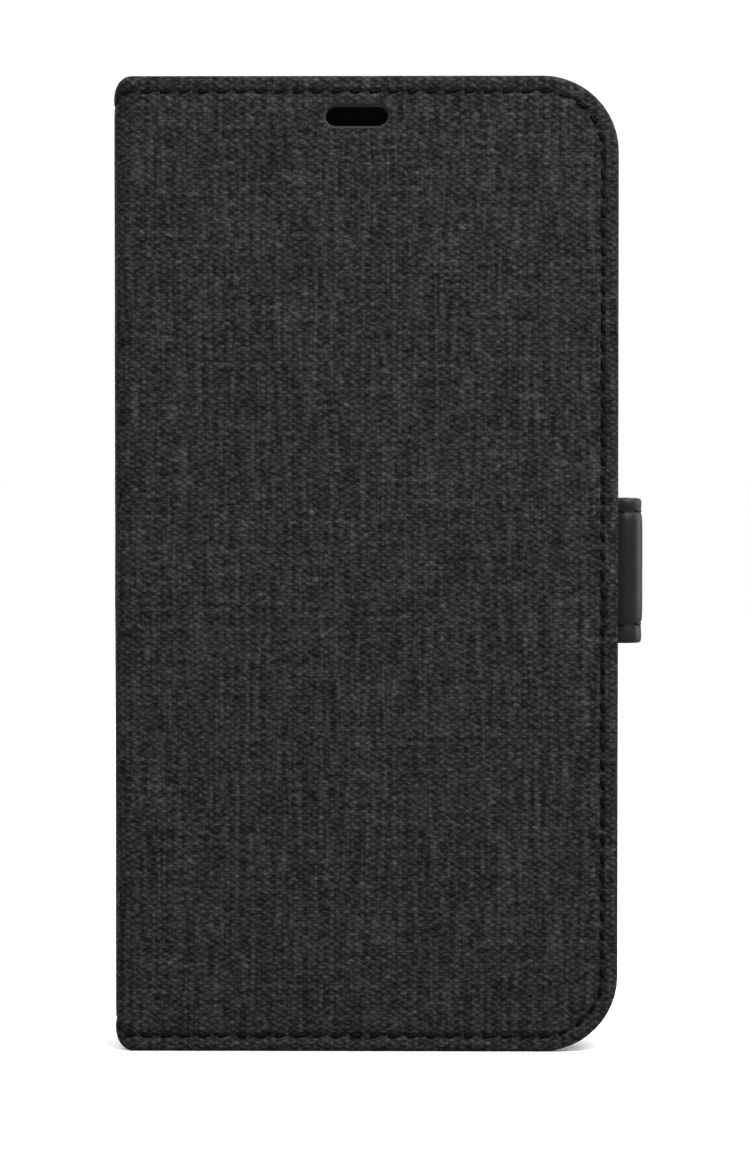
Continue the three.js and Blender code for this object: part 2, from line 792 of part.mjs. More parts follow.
/** The flat tip: lining, stiffener with two magnets in it, leather and a seam round the edge. */
function strapTip() {
  const outline = (left, margin) =>
    rectangle(left, strapBottom + margin, tipRight, strapTop - margin, [
      tipCorner - margin,
      0,
      0,
      tipCorner - margin,
    ]);
  const liningBack = tipInner + tipLining;
  const stiffenerFront = liningBack + layerGap;
  const stiffenerBack = stiffenerFront + stiffenerThickness;
  const leatherFront = stiffenerFront + tipCoreThickness + layerGap;
  const face = leatherFront + tipLeather;

  const seamBand = (width) => {
    const edge = (grow) => {
      const left = tipLeft + strapSeamUpper - grow;
      const bottom = strapBottom + strapSeamLower - grow;
      const top = strapTop - strapSeamUpper + grow;
      const radius = tipCorner - strapSeamUpper + grow;
      return [
        new THREE.Vector2(tipRight, top),
        ...corner(left, top, radius, -1, 1, 90),
        ...corner(left, bottom, radius, -1, -1, 180),
        new THREE.Vector2(tipRight, bottom),
      ];
    };
    return new THREE.Shape([...edge(width / 2), ...edge(-width / 2).reverse()]);
  };

  const magnetHeights = {
    strap_magnet_lower: strapMiddle - magnetSpacing / 2,
    strap_magnet_upper: strapMiddle + magnetSpacing / 2,
  };
  const disc = (z, radius) => new THREE.Shape(arcPoints(magnetX, z, radius, 0, 360).slice(0, -1));
  const holes = Object.values(magnetHeights).map((z) =>
    sheet(disc(z, magnetDiameter / 2 + magnetClearance), tipInner, face),
  );
  const stiffenerOutline = rectangle(
    tipLeft + stiffenerInset,
    strapBottom + stiffenerInset,
    tipRight - stiffenerSetback,
    strapTop - stiffenerInset,
    [stiffenerTipCorner, stiffenerCorner, stiffenerCorner, stiffenerTipCorner],
  );
  const threadFace = face - threadFloat;
  const pieces = [
    piece(
      'strap_tip_leather',
      cut(
        sheet(outline(tipLeft, 0), leatherFront, face),
        sheet(seamBand(grooveWidth), face - strapGrooveDepth, face + past),
      ),
      leather,
    ),
    piece('strap_tip_lining', sheet(outline(tipLeft, 0), tipInner, liningBack), leather),
    piece(
      'strap_stiffener',
      cut(sheet(stiffenerOutline, stiffenerFront, stiffenerBack), ...holes),
      board,
    ),
    piece(
      'strap_tip_thread',
      sheet(seamBand(strapThreadWidth), threadFace - strapThreadHeight, threadFace),
      thread,
    ),
  ];
  for (const [name, z] of Object.entries(magnetHeights)) {
    const front = stiffenerFront + layerGap;
    const body = sheet(disc(z, magnetDiameter / 2), front, front + magnetThickness);
    pieces.push(piece(name, body, magnet));
  }
  return pieces;
}

// ---- The whole case ----

const walletCase = new THREE.Group();
walletCase.add(backCover(), spine(), frontCover(), strap());
for (const [name, place] of Object.entries(keys)) {
  walletCase.add(piece(name, key(place.z, place.wallInner, place.outward), shell));
}
walletCase.position.set(-overallWidth / 2, -overallDepth / 2, 0);

const scene = new THREE.Group();
scene.add(walletCase);

export default scene;
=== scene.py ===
"""Folio wallet case for a phone: woven cloth cover, moulded shell, card pockets and a magnetic strap.

Lengths are in millimetres up to the moment a mesh is made. X runs from the spine to the free edge,
Y from the front cover to the back cover, Z up.
"""

import json
import math

import bmesh
import bpy
import numpy as np
from mathutils import Vector, noise
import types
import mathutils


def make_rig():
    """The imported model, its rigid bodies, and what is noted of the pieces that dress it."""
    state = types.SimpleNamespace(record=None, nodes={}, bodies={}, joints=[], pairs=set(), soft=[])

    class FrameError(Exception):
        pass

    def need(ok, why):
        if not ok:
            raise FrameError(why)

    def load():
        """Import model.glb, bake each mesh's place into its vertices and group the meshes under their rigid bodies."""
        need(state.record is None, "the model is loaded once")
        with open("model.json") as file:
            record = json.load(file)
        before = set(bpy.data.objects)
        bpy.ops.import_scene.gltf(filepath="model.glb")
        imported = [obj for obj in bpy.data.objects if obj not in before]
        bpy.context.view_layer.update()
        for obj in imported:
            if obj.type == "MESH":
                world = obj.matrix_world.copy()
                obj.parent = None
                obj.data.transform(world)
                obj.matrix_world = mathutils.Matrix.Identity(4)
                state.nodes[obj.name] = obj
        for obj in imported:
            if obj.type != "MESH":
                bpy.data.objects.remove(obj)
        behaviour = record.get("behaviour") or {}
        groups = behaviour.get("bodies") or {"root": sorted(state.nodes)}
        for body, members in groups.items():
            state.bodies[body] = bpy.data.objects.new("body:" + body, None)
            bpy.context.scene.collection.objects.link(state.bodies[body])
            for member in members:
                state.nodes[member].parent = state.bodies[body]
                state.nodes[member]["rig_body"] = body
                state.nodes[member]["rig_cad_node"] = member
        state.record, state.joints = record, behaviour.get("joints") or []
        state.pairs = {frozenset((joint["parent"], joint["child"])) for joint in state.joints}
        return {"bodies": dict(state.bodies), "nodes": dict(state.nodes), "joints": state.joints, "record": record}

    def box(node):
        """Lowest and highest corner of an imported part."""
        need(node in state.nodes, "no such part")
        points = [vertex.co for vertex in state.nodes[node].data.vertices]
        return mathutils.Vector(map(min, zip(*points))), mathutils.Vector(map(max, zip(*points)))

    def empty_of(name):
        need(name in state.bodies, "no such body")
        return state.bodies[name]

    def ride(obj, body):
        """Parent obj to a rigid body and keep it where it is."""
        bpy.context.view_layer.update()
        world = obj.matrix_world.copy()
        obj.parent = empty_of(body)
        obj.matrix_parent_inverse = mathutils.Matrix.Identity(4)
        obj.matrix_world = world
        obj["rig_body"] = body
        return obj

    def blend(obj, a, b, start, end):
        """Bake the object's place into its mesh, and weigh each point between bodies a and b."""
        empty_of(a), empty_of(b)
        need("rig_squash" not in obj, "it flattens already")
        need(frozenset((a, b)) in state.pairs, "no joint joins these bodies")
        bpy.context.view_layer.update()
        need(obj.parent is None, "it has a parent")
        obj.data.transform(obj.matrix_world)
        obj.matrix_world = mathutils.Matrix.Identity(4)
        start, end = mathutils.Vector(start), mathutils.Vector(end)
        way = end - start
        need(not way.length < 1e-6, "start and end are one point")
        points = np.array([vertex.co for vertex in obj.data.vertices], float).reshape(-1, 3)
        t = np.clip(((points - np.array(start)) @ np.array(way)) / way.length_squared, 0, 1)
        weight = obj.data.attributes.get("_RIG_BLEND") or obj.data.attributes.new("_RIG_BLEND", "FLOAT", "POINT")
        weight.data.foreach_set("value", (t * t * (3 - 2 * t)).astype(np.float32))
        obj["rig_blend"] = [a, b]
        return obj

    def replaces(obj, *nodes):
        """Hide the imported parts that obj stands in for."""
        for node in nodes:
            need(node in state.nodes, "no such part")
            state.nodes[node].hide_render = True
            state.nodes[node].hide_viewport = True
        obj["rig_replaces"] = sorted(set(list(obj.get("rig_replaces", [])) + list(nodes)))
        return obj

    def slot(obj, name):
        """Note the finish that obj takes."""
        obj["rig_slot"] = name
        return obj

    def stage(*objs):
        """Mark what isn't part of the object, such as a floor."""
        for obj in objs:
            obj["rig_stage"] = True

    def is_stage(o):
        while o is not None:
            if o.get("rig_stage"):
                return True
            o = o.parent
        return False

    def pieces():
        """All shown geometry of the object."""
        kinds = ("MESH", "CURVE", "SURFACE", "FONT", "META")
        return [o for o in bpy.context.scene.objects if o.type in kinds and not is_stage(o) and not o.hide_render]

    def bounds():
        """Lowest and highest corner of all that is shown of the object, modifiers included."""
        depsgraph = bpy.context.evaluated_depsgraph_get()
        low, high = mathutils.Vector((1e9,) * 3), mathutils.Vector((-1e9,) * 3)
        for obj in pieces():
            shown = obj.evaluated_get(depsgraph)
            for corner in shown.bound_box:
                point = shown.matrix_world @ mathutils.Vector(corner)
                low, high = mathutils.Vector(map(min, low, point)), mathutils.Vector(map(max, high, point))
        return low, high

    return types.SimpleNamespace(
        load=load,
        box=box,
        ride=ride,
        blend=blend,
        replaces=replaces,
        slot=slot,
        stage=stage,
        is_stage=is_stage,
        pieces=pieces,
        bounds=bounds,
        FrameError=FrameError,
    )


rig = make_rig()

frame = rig.load()
cad_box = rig.bounds()

MM = 0.001
UV_PER_MM = 0.01


def box_mm(node):
    """Lowest and highest corner of a node, in millimetres."""
    low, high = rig.box(node)
    return low / MM, high / MM


# ---- Places taken from the frame ----

front_low, front_high = box_mm("front_fabric")
side_low, side_high = box_mm("strap_side_leather")
tip_low, tip_high = box_mm("strap_tip_leather")
shell_low, shell_high = box_mm("phone_shell")

SPINE_X = box_mm("spine_fabric")[0].x
ANCHOR_X = box_mm("strap_anchor")[0].x
EDGE_X = front_high.x
FRONT_Y = front_low.y
BACK_Y = box_mm("back_fabric")[1].y
TOP_Z = front_high.z
COVER_DEPTH = BACK_Y - FRONT_Y
FOLD_RADIUS = 3.2
COVER_CORNER = 13.1
SPINE_ROUNDING = 3.0
SEAM_INSET = 2.7
STITCH_PITCH = 3.25

SPINE_HALF = COVER_DEPTH / 2 - FOLD_RADIUS
FOLD_LENGTH = FOLD_RADIUS * math.pi / 2
PANEL_START = SPINE_HALF + FOLD_LENGTH
PANEL_LENGTH = EDGE_X - SPINE_X - FOLD_RADIUS
COVER_LENGTH = PANEL_START + PANEL_LENGTH


# ---- Mesh helpers ----


def new_mesh(name, points, faces, uvs=None, angle=40):
    """A mesh object from millimetre points, smooth where faces meet at less than the angle."""
    mesh = bpy.data.meshes.new(name)
    mesh.from_pydata([tuple(c * MM for c in p) for p in points], [], faces)
    mesh.validate()
    if uvs is not None:
        layer = mesh.uv_layers.new(name="cloth_map")
        flat = np.array([uvs[loop.vertex_index] for loop in mesh.loops], float) * UV_PER_MM
        layer.data.foreach_set("uv", flat.ravel())
    mesh.polygons.foreach_set("use_smooth", [True] * len(mesh.polygons))
    mesh.set_sharp_from_angle(angle=math.radians(angle))
    piece = bpy.data.objects.new(name, mesh)
    bpy.context.scene.collection.objects.link(piece)
    return piece


def dress(piece, material, slot):
    piece.data.materials.clear()
    piece.data.materials.append(material)
    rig.slot(piece, slot)
    return piece


def cut_with(piece, tools, operation="DIFFERENCE"):
    """Applies booleans to a piece and removes the tools."""
    for tool in tools:
        step = piece.modifiers.new("cut", "BOOLEAN")
        step.operation = operation
        step.solver = "EXACT"
        step.object = tool
    depsgraph = bpy.context.evaluated_depsgraph_get()
    result = bpy.data.meshes.new_from_object(piece.evaluated_get(depsgraph))
    piece.modifiers.clear()
    old = piece.data
    piece.data = result
    bpy.data.meshes.remove(old)
    for tool in tools:
        bpy.data.objects.remove(tool)
    return piece


def smooth_share(value, low, high):
    """0 below the low value and 1 above the high one, with a smooth change between."""
    share = min(max((value - low) / (high - low), 0.0), 1.0)
    return share * share * (3 - 2 * share)


def smooth_by_angle(piece, angle):
    piece.data.polygons.foreach_set("use_smooth", [True] * len(piece.data.polygons))
    piece.data.set_sharp_from_angle(angle=math.radians(angle))


WOBBLE_SCALE = 0.21
WOBBLE_LAYER = 3.7
ARC_STEPS = 12
SMALLEST_RADIUS = 0.02
# How far from a seam the painted groove shade reaches, in millimetres of inset
SEAM_MARK = (0.1, 0.55)


def unevenness(along, across, size):
    """A slow rise and fall of the surface, the same each time."""
    return size * noise.noise(Vector((along * WOBBLE_SCALE, across * WOBBLE_SCALE, WOBBLE_LAYER)))


class Panel:
    """A flat cut shape, straight at one end and round-cornered at the other, that a place function
    folds into position. A point is (along, across, depth): along the cloth from the straight end,
    up its height, and inwards from its outer face. map_side is 1 or -1, the way its flat map runs
    from the straight end, so that two panels that meet there show one unbroken cloth."""

    def __init__(
        self, place, end, bottom, top, corners, columns, rows=20, trim=None, skew=None, map_side=1
    ):
        self.place = place
        self.map_side = map_side
        self.end = end
        self.bottom = bottom
        self.top = top
        self.lower_corner, self.upper_corner = corners
        self.columns = columns
        self.rows = rows
        self.trim = trim or (lambda along: 0.0)
        self.skew = skew or (lambda inset: inset)

    def edge(self, inset, upper):
        """Points along the upper or lower edge at an inset, from the straight end to the free side."""
        radius = self.upper_corner if upper else self.lower_corner
        inward = inset if upper else self.skew(inset)
        level = self.top if upper else self.bottom
        sign = 1 if upper else -1
        points = []
        limit = self.end - radius
        first = self.columns[0]
        for along in self.columns:
            share = (along - first) / (self.columns[-1] - first)
            here = first + share * (limit - first)
            points.append((here, level - sign * (inward + self.trim(here))))
        round_radius = max(radius - inset, SMALLEST_RADIUS)
        for step in range(1, ARC_STEPS + 1):
            angle = math.pi / 2 * step / ARC_STEPS
            along = self.end - inset - round_radius + round_radius * math.sin(angle)
            height = round_radius * (1 - math.cos(angle))
            points.append((along, level - sign * (inward + height)))
        return points

    def ring(self, inset):
        """The whole edge at an inset: upper edge, free side, lower edge back to the straight end."""
        upper = self.edge(inset, True)
        lower = self.edge(inset, False)
        high, low = upper[-1], lower[-1]
        side = []
        for row in range(1, self.rows):
            share = row / self.rows
            side.append((high[0] + (low[0] - high[0]) * share, high[1] + (low[1] - high[1]) * share))
        return upper + side + lower[::-1]

    def build(self, name, rings, wobble=0.0, crown=None, seam=None):
        """A closed body through rings of (inset, depth), first the inner side, last the outer face.
        The rings near the seam's inset are marked, so that a material can paint shade into its groove."""
        points, uvs, faces, loops = [], [], [], []
        for (inset, depth), reach in zip(rings, self.profile_lengths(rings)):
            loop = []
            flat = self.ring(reach)
            for index, (along, across) in enumerate(self.ring(inset)):
                loop.append(len(points))
                points.append(self.surface(along, across, depth, wobble, crown, rings))
                uvs.append((self.map_side * flat[index][0], flat[index][1]))
            loops.append(loop)
        for before, after in zip(loops, loops[1:]):
            for a, b, c, d in zip(before, before[1:], after[1:], after):
                faces.append((a, b, c, d))
        for number, flip in ((0, False), (-1, True)):
            inset, depth = rings[number]

            def face_point(along, across, depth=depth):
                return self.surface(along, across, depth, wobble, crown, rings)

            self.fill(points, uvs, faces, loops[number], inset, flip, face_point)
        self.cap(faces, loops)
        piece = orient(new_mesh(name, points, faces, uvs))
        marks = np.zeros(len(points))
        ring_points = len(self.ring(rings[0][0]))
        for number, (inset, _) in enumerate(rings):
            if seam is not None:
                mark = 1 - smooth_share(abs(inset - seam), *SEAM_MARK)
                marks[number * ring_points : (number + 1) * ring_points] = mark
        piece.data.attributes.new("seam", "FLOAT", "POINT").data.foreach_set("value", marks)
        return piece

    def surface(self, along, across, depth, wobble, crown, rings):
        """A flat point in its place, with the wobble and the crown's lift."""
        lift = crown(along, across) * self.outwards(depth, rings) if crown else 0.0
        return self.place(along, across, depth + unevenness(along, across, wobble) - lift)

    def outwards(self, depth, rings):
        """1 on the outer face and 0 on the inner side, for a crown that lifts only the face."""
        deepest = max(level for _, level in rings)
        return 1.0 - min(max(depth / deepest, 0.0), 1.0) if deepest > 0 else 1.0

    def profile_lengths(self, rings):
        """Insets that the rings would have if the turned edge lay flat, for the cloth's own map."""
        reach = rings[-1][0]
        lengths = [reach]
        for after, before in zip(rings[::-1], rings[-2::-1]):
            reach -= math.hypot(after[0] - before[0], after[1] - before[1])
            lengths.append(reach)
        return lengths[::-1]

    def fill(self, points, uvs, faces, loop, inset, flip, face_point):
        """Rows and columns across a ring, sharing the ring's own points at its rim."""
        width = ARC_STEPS + len(self.columns)
        upper = loop[:width]
        lower = loop[-width:][::-1]
        side = loop[width - 1 : len(loop) - width + 1]
        high = self.edge(inset, True)
        low = self.edge(inset, False)
        grid = []
        for column in range(width - 1):
            line = [upper[column]]
            for row in range(1, self.rows):
                share = row / self.rows
                along = high[column][0] + (low[column][0] - high[column][0]) * share
                across = high[column][1] + (low[column][1] - high[column][1]) * share
                line.append(len(points))
                points.append(face_point(along, across))
                uvs.append((self.map_side * along, across))
            line.append(lower[column])
            grid.append(line)
        grid.append(side)
        for left, right in zip(grid, grid[1:]):
            for a, b, c, d in zip(left, left[1:], right[1:], right):
                faces.append((a, d, c, b) if flip else (a, b, c, d))
        loop.append(grid[0])

    def cap(self, faces, loops):
        """Closes the straight end."""
        inner_line = loops[0].pop()
        outer_line = loops[-1].pop()
        upper = [loop[0] for loop in loops[1:-1]]
        lower = [loop[-1] for loop in loops[1:-1]]
        faces.append(tuple(inner_line[::-1] + upper + outer_line + lower[::-1]))


def orient(piece):
    """Turns every face of a closed body outwards."""
    work = bmesh.new()
    work.from_mesh(piece.data)
    bmesh.ops.recalc_face_normals(work, faces=work.faces)
    work.to_mesh(piece.data)
    work.free()
    return piece


def rounded_outline(cx, cy, width, height, radius, steps=10, inset=0.0):
    """Points round a rectangle with round corners, set in by an inset."""
    half_w, half_h = width / 2 - inset, height / 2 - inset
    radius = max(min(radius - inset, half_w, half_h), SMALLEST_RADIUS)
    points = []
    for quarter, (sx, sy) in enumerate(((1, 1), (-1, 1), (-1, -1), (1, -1))):
        for step in range(steps + 1):
            angle = math.pi / 2 * (quarter + step / steps)
            points.append(
                (
                    cx + sx * (half_w - radius) + radius * math.cos(angle),
                    cy + sy * (half_h - radius) + radius * math.sin(angle),
                )
            )
    return points


def loft(name, outlines, place, closed_ring=False, angle=40):
    """A body through outlines of equal point count; the first and last are capped, or joined."""
    points, faces, loops = [], [], []
    for outline, level in outlines:
        loops.append(list(range(len(points), len(points) + len(outline))))
        points.extend(place(u, v, level) for u, v in outline)
    pairs = list(zip(loops, loops[1:]))
    if closed_ring:
        pairs.append((loops[-1], loops[0]))
    for before, after in pairs:
        count = len(before)
        for i in range(count):
            j = (i + 1) % count
            faces.append((before[i], before[j], after[j], after[i]))
    if not closed_ring:
        faces.append(tuple(loops[0][::-1]))
        faces.append(tuple(loops[-1]))
    return orient(new_mesh(name, points, faces, angle=angle))


def facing_y(u, v, level):
    return (u, level, v)


def facing_x(u, v, level):
    return (level, u, v)


def facing_z(u, v, level):
    return (u, v, level)


# ---- Where the cover's cloth lies ----


def cover_place(is_front):
    """Folds a flat point round the spine's fold onto the front or back cover."""

    def place(along, across, depth):
        if along <= SPINE_HALF:
            x, y = depth, COVER_DEPTH / 2 - along
        elif along <= PANEL_START:
            turn = (along - SPINE_HALF) / FOLD_RADIUS
            x = FOLD_RADIUS - (FOLD_RADIUS - depth) * math.cos(turn)
            y = FOLD_RADIUS - (FOLD_RADIUS - depth) * math.sin(turn)
        else:
            x, y = FOLD_RADIUS + along - PANEL_START, depth
        return (SPINE_X + x, FRONT_Y + y if is_front else BACK_Y - y, across)

    return place


SPINE_THINNING = 0.77


def thinner_at_spine(place):
    """The spine's layers are thinner than the cover's, with a smooth change through the fold."""

    def thinned(along, across, depth):
        share = smooth_share(along, SPINE_HALF, PANEL_START)
        scale = SPINE_THINNING + (1 - SPINE_THINNING) * share
        return place(along, across, depth * scale if depth > 0 else depth)

    return thinned


def spine_trim(along):
    """How far the cover's ends are cut back as they run onto the spine."""
    if along >= PANEL_START:
        return 0.0
    if along <= SPINE_HALF:
        reach = 0.0
    else:
        reach = FOLD_RADIUS * (1 - math.cos((along - SPINE_HALF) / FOLD_RADIUS))
    if reach >= SPINE_ROUNDING:
        return 0.0
    gap = SPINE_ROUNDING - reach
    return SPINE_ROUNDING - math.sqrt(SPINE_ROUNDING**2 - gap**2)


def cover_columns():
    """Close together round the fold, wider across the panel."""
    spine = list(np.linspace(0, SPINE_HALF - 0.8, 4))
    fold = list(np.linspace(SPINE_HALF - 0.3, PANEL_START + 2.5, 22))
    panel = list(np.linspace(PANEL_START + 5, COVER_LENGTH - COVER_CORNER, 20))
    return spine + fold + panel


CLOTH_RINGS = [
    (0.75, 0.62),
    (0.72, 1.6),
    (0.66, 2.02),
    (0.45, 2.16),
    (0.22, 2.1),
    (0.06, 1.85),
    (0.0, 1.4),
    (0.0, 0.8),
    (0.05, 0.42),
    (0.17, 0.17),
    (0.38, 0.04),
    (0.7, -0.04),
    (1.25, -0.09),
    (1.85, -0.04),
    (2.2, 0.07),
    (2.45, 0.25),
    (2.62, 0.34),
    (2.78, 0.34),
    (2.96, 0.24),
    (3.25, 0.08),
    (3.7, -0.02),
    (4.6, -0.05),
    (6.2, -0.05),
]

LINING_RINGS = [
    (0.95, 1.72),
    (0.86, 1.78),
    (0.82, 1.95),
    (0.86, 2.1),
    (1.0, 2.18),
    (1.4, 2.2),
    (2.1, 2.19),
    (2.4, 2.1),
    (2.7, 2.05),
    (3.0, 2.1),
    (3.4, 2.19),
    (4.5, 2.2),
]


def cover_panel(is_front):
    return Panel(
        thinner_at_spine(cover_place(is_front)),
        COVER_LENGTH,
        0.0,
        TOP_Z,
        (COVER_CORNER, COVER_CORNER),
        cover_columns(),
        rows=24,
        trim=spine_trim,
        map_side=1 if is_front else -1,
    )


BEND_ROOM = 0.3


def fold_line(is_front):
    """Start and end of the bend from spine to cover, in metres."""
    sign = 1 if is_front else -1
    outer = FRONT_Y if is_front else BACK_Y
    start = Vector((SPINE_X - BEND_ROOM, outer + sign * (FOLD_RADIUS + BEND_ROOM), TOP_Z / 2))
    end = Vector((SPINE_X + FOLD_RADIUS + BEND_ROOM, outer - sign * BEND_ROOM, TOP_Z / 2))
    return start * MM, end * MM


def bend_with_cover(piece, is_front):
    """Bends a piece smoothly from the spine onto its cover as the fold turns."""
    start, end = fold_line(is_front)
    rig.blend(piece, "spine", "front_cover" if is_front else "back_cover", start, end)


# ---- Stitches ----


PATH_STEP = 0.4
AHEAD = 0.3
STITCH_SIDES = 10
STITCH_RINGS = 11
STITCH_SLANT = 0.10
STITCH_DIP = 0.42
SEAM_END = 0.35


def seam_path(panel, inset):
    """Points along a seam, evenly close, from the upper straight end round to the lower one."""
    ring = panel.ring(inset)
    dense = []
    for (a0, c0), (a1, c1) in zip(ring, ring[1:]):
        length = math.hypot(a1 - a0, c1 - c0)
        count = max(1, int(length / PATH_STEP))
        for step in range(count):
            share = step / count
            dense.append((a0 + (a1 - a0) * share, c0 + (c1 - c0) * share))
    dense.append(ring[-1])
    lengths = [0.0]
    for p, q in zip(dense, dense[1:]):
        lengths.append(lengths[-1] + math.hypot(q[0] - p[0], q[1] - p[1]))
    return np.array(dense), np.array(lengths)


def stitch_ring(panel, path, lengths, at, share, lean, size, depth, inwards):
    """One ring of points round a stitch, at a length along the seam. share runs from -1 to 1."""
    _, radius, flat = size
    along, across = (np.interp(at, lengths, path[:, axis]) for axis in (0, 1))
    ahead = np.array(
        [
            np.interp(at + AHEAD, lengths, path[:, axis]) - np.interp(at - AHEAD, lengths, path[:, axis])
            for axis in (0, 1)
        ]
    )
    ahead /= max(np.linalg.norm(ahead), 1e-9)
    normal = np.array([-ahead[1], ahead[0]])
    taper = math.sqrt(max(1 - share**4, 0.0)) * 0.92 + 0.08
    points = []
    for side in range(STITCH_SIDES):
        angle = 2 * math.pi * side / STITCH_SIDES
        ply = 1 + 0.13 * math.cos(2 * angle + share * 7.5)
        out = radius * taper * ply
        lateral = out * math.cos(angle) + lean
        up = out * math.sin(angle) * flat
        points.append(
            panel.place(along + normal[0] * lateral, across + normal[1] * lateral, depth - inwards * up)
        )
    return points


def stitches(name, panel, inset, pitch, size, level, inwards, start=None, stop=None):
    """Short twisted stitches laid along a seam. Each dips into the cloth at both ends.
    size is a stitch's length, its radius and how flat it is pressed."""
    path, lengths = seam_path(panel, inset)
    begin = start if start is not None else pitch * SEAM_END
    finish = stop if stop is not None else lengths[-1] - pitch * SEAM_END
    count = int((finish - begin) / pitch)
    points, faces = [], []
    for number in range(count + 1):
        middle = begin + number * (finish - begin) / max(count, 1)
        tilt = STITCH_SLANT * (1 + 0.35 * math.sin(number * 2.399))
        length = size[0] * (1 + 0.06 * math.sin(number * 1.713))
        base = len(points)
        for ring in range(STITCH_RINGS):
            share = ring / (STITCH_RINGS - 1) * 2 - 1
            at = middle + share * length / 2
            depth = level + inwards * STITCH_DIP * share**4
            lean = tilt * share * length
            points += stitch_ring(panel, path, lengths, at, share, lean, size, depth, inwards)
        for ring in range(STITCH_RINGS - 1):
            for side in range(STITCH_SIDES):
                a = base + ring * STITCH_SIDES + side
                b = base + ring * STITCH_SIDES + (side + 1) % STITCH_SIDES
                faces.append((a, b, b + STITCH_SIDES, a + STITCH_SIDES))
        last = base + (STITCH_RINGS - 1) * STITCH_SIDES
        faces.append(tuple(base + side for side in range(STITCH_SIDES))[::-1])
        faces.append(tuple(last + side for side in range(STITCH_SIDES)))
    return orient(new_mesh(name, points, faces, angle=180))


# ---- Shader helpers ----


class Nodes:
    """Short calls for the nodes of one tree."""

    def __init__(self, tree):
        self.tree = tree

    def add(self, kind, **values):
        node = self.tree.nodes.new(kind)
        for name, value in values.items():
            setattr(node, name, value)
        return node

    def put(self, socket, value):
        if isinstance(value, bpy.types.NodeSocket):
            self.tree.links.new(value, socket)
        else:
            socket.default_value = value

    def math(self, operation, first, second=0.0, third=None, clamp=False):
        node = self.add("ShaderNodeMath", operation=operation, use_clamp=clamp)
        self.put(node.inputs[0], first)
        self.put(node.inputs[1], second)
        if third is not None:
            self.put(node.inputs[2], third)
        return node.outputs[0]

    def vector(self, operation, first, second):
        node = self.add("ShaderNodeVectorMath", operation=operation)
        self.put(node.inputs[0], first)
        self.put(node.inputs[1], second)
        return node.outputs[0]

    def split(self, vector):
        node = self.add("ShaderNodeSeparateXYZ")
        self.put(node.inputs[0], vector)
        return node.outputs[0], node.outputs[1], node.outputs[2]

    def combine(self, x, y, z=0.0):
        node = self.add("ShaderNodeCombineXYZ")
        for socket, value in zip(node.inputs, (x, y, z)):
            self.put(socket, value)
        return node.outputs[0]

    def noise(self, vector, scale, detail=2.0, rough=0.5, dimensions="3D"):
        node = self.add("ShaderNodeTexNoise", noise_dimensions=dimensions)
        self.put(node.inputs["Vector"], vector)
        self.put(node.inputs["Scale"], scale)
        self.put(node.inputs["Detail"], detail)
        self.put(node.inputs["Roughness"], rough)
        return node.outputs["Fac"]

    def ramp(self, value, low, high, out_low=0.0, out_high=1.0, smooth=True):
        node = self.add("ShaderNodeMapRange")
        node.interpolation_type = "SMOOTHSTEP" if smooth else "LINEAR"
        for name, amount in (
            ("Value", value),
            ("From Min", low),
            ("From Max", high),
            ("To Min", out_low),
            ("To Max", out_high),
        ):
            self.put(node.inputs[name], amount)
        return node.outputs["Result"]

    def mix(self, share, dark, light):
        node = self.add("ShaderNodeMix", data_type="RGBA")
        self.put(node.inputs["Factor"], share)
        self.put(node.inputs["A"], dark)
        self.put(node.inputs["B"], light)
        return node.outputs["Result"]


def grey(value, tint=0.0):
    return (value * (1 - tint), value, value * (1 + tint), 1.0)


def group(name, inputs, outputs, fill):
    """A shader node group with named sockets. fill gets the nodes, the inputs and the outputs."""
    tree = bpy.data.node_groups.new(name, "ShaderNodeTree")
    for label, kind, value in inputs:
        socket = tree.interface.new_socket(label, in_out="INPUT", socket_type=kind)
        if value is not None:
            socket.default_value = value
    for label, kind in outputs:
        tree.interface.new_socket(label, in_out="OUTPUT", socket_type=kind)
    nodes = Nodes(tree)
    given = nodes.add("NodeGroupInput")
    result = nodes.add("NodeGroupOutput")
    fill(nodes, given.outputs, result.inputs)
    return tree


FLOAT = "NodeSocketFloat"
VECTOR = "NodeSocketVector"


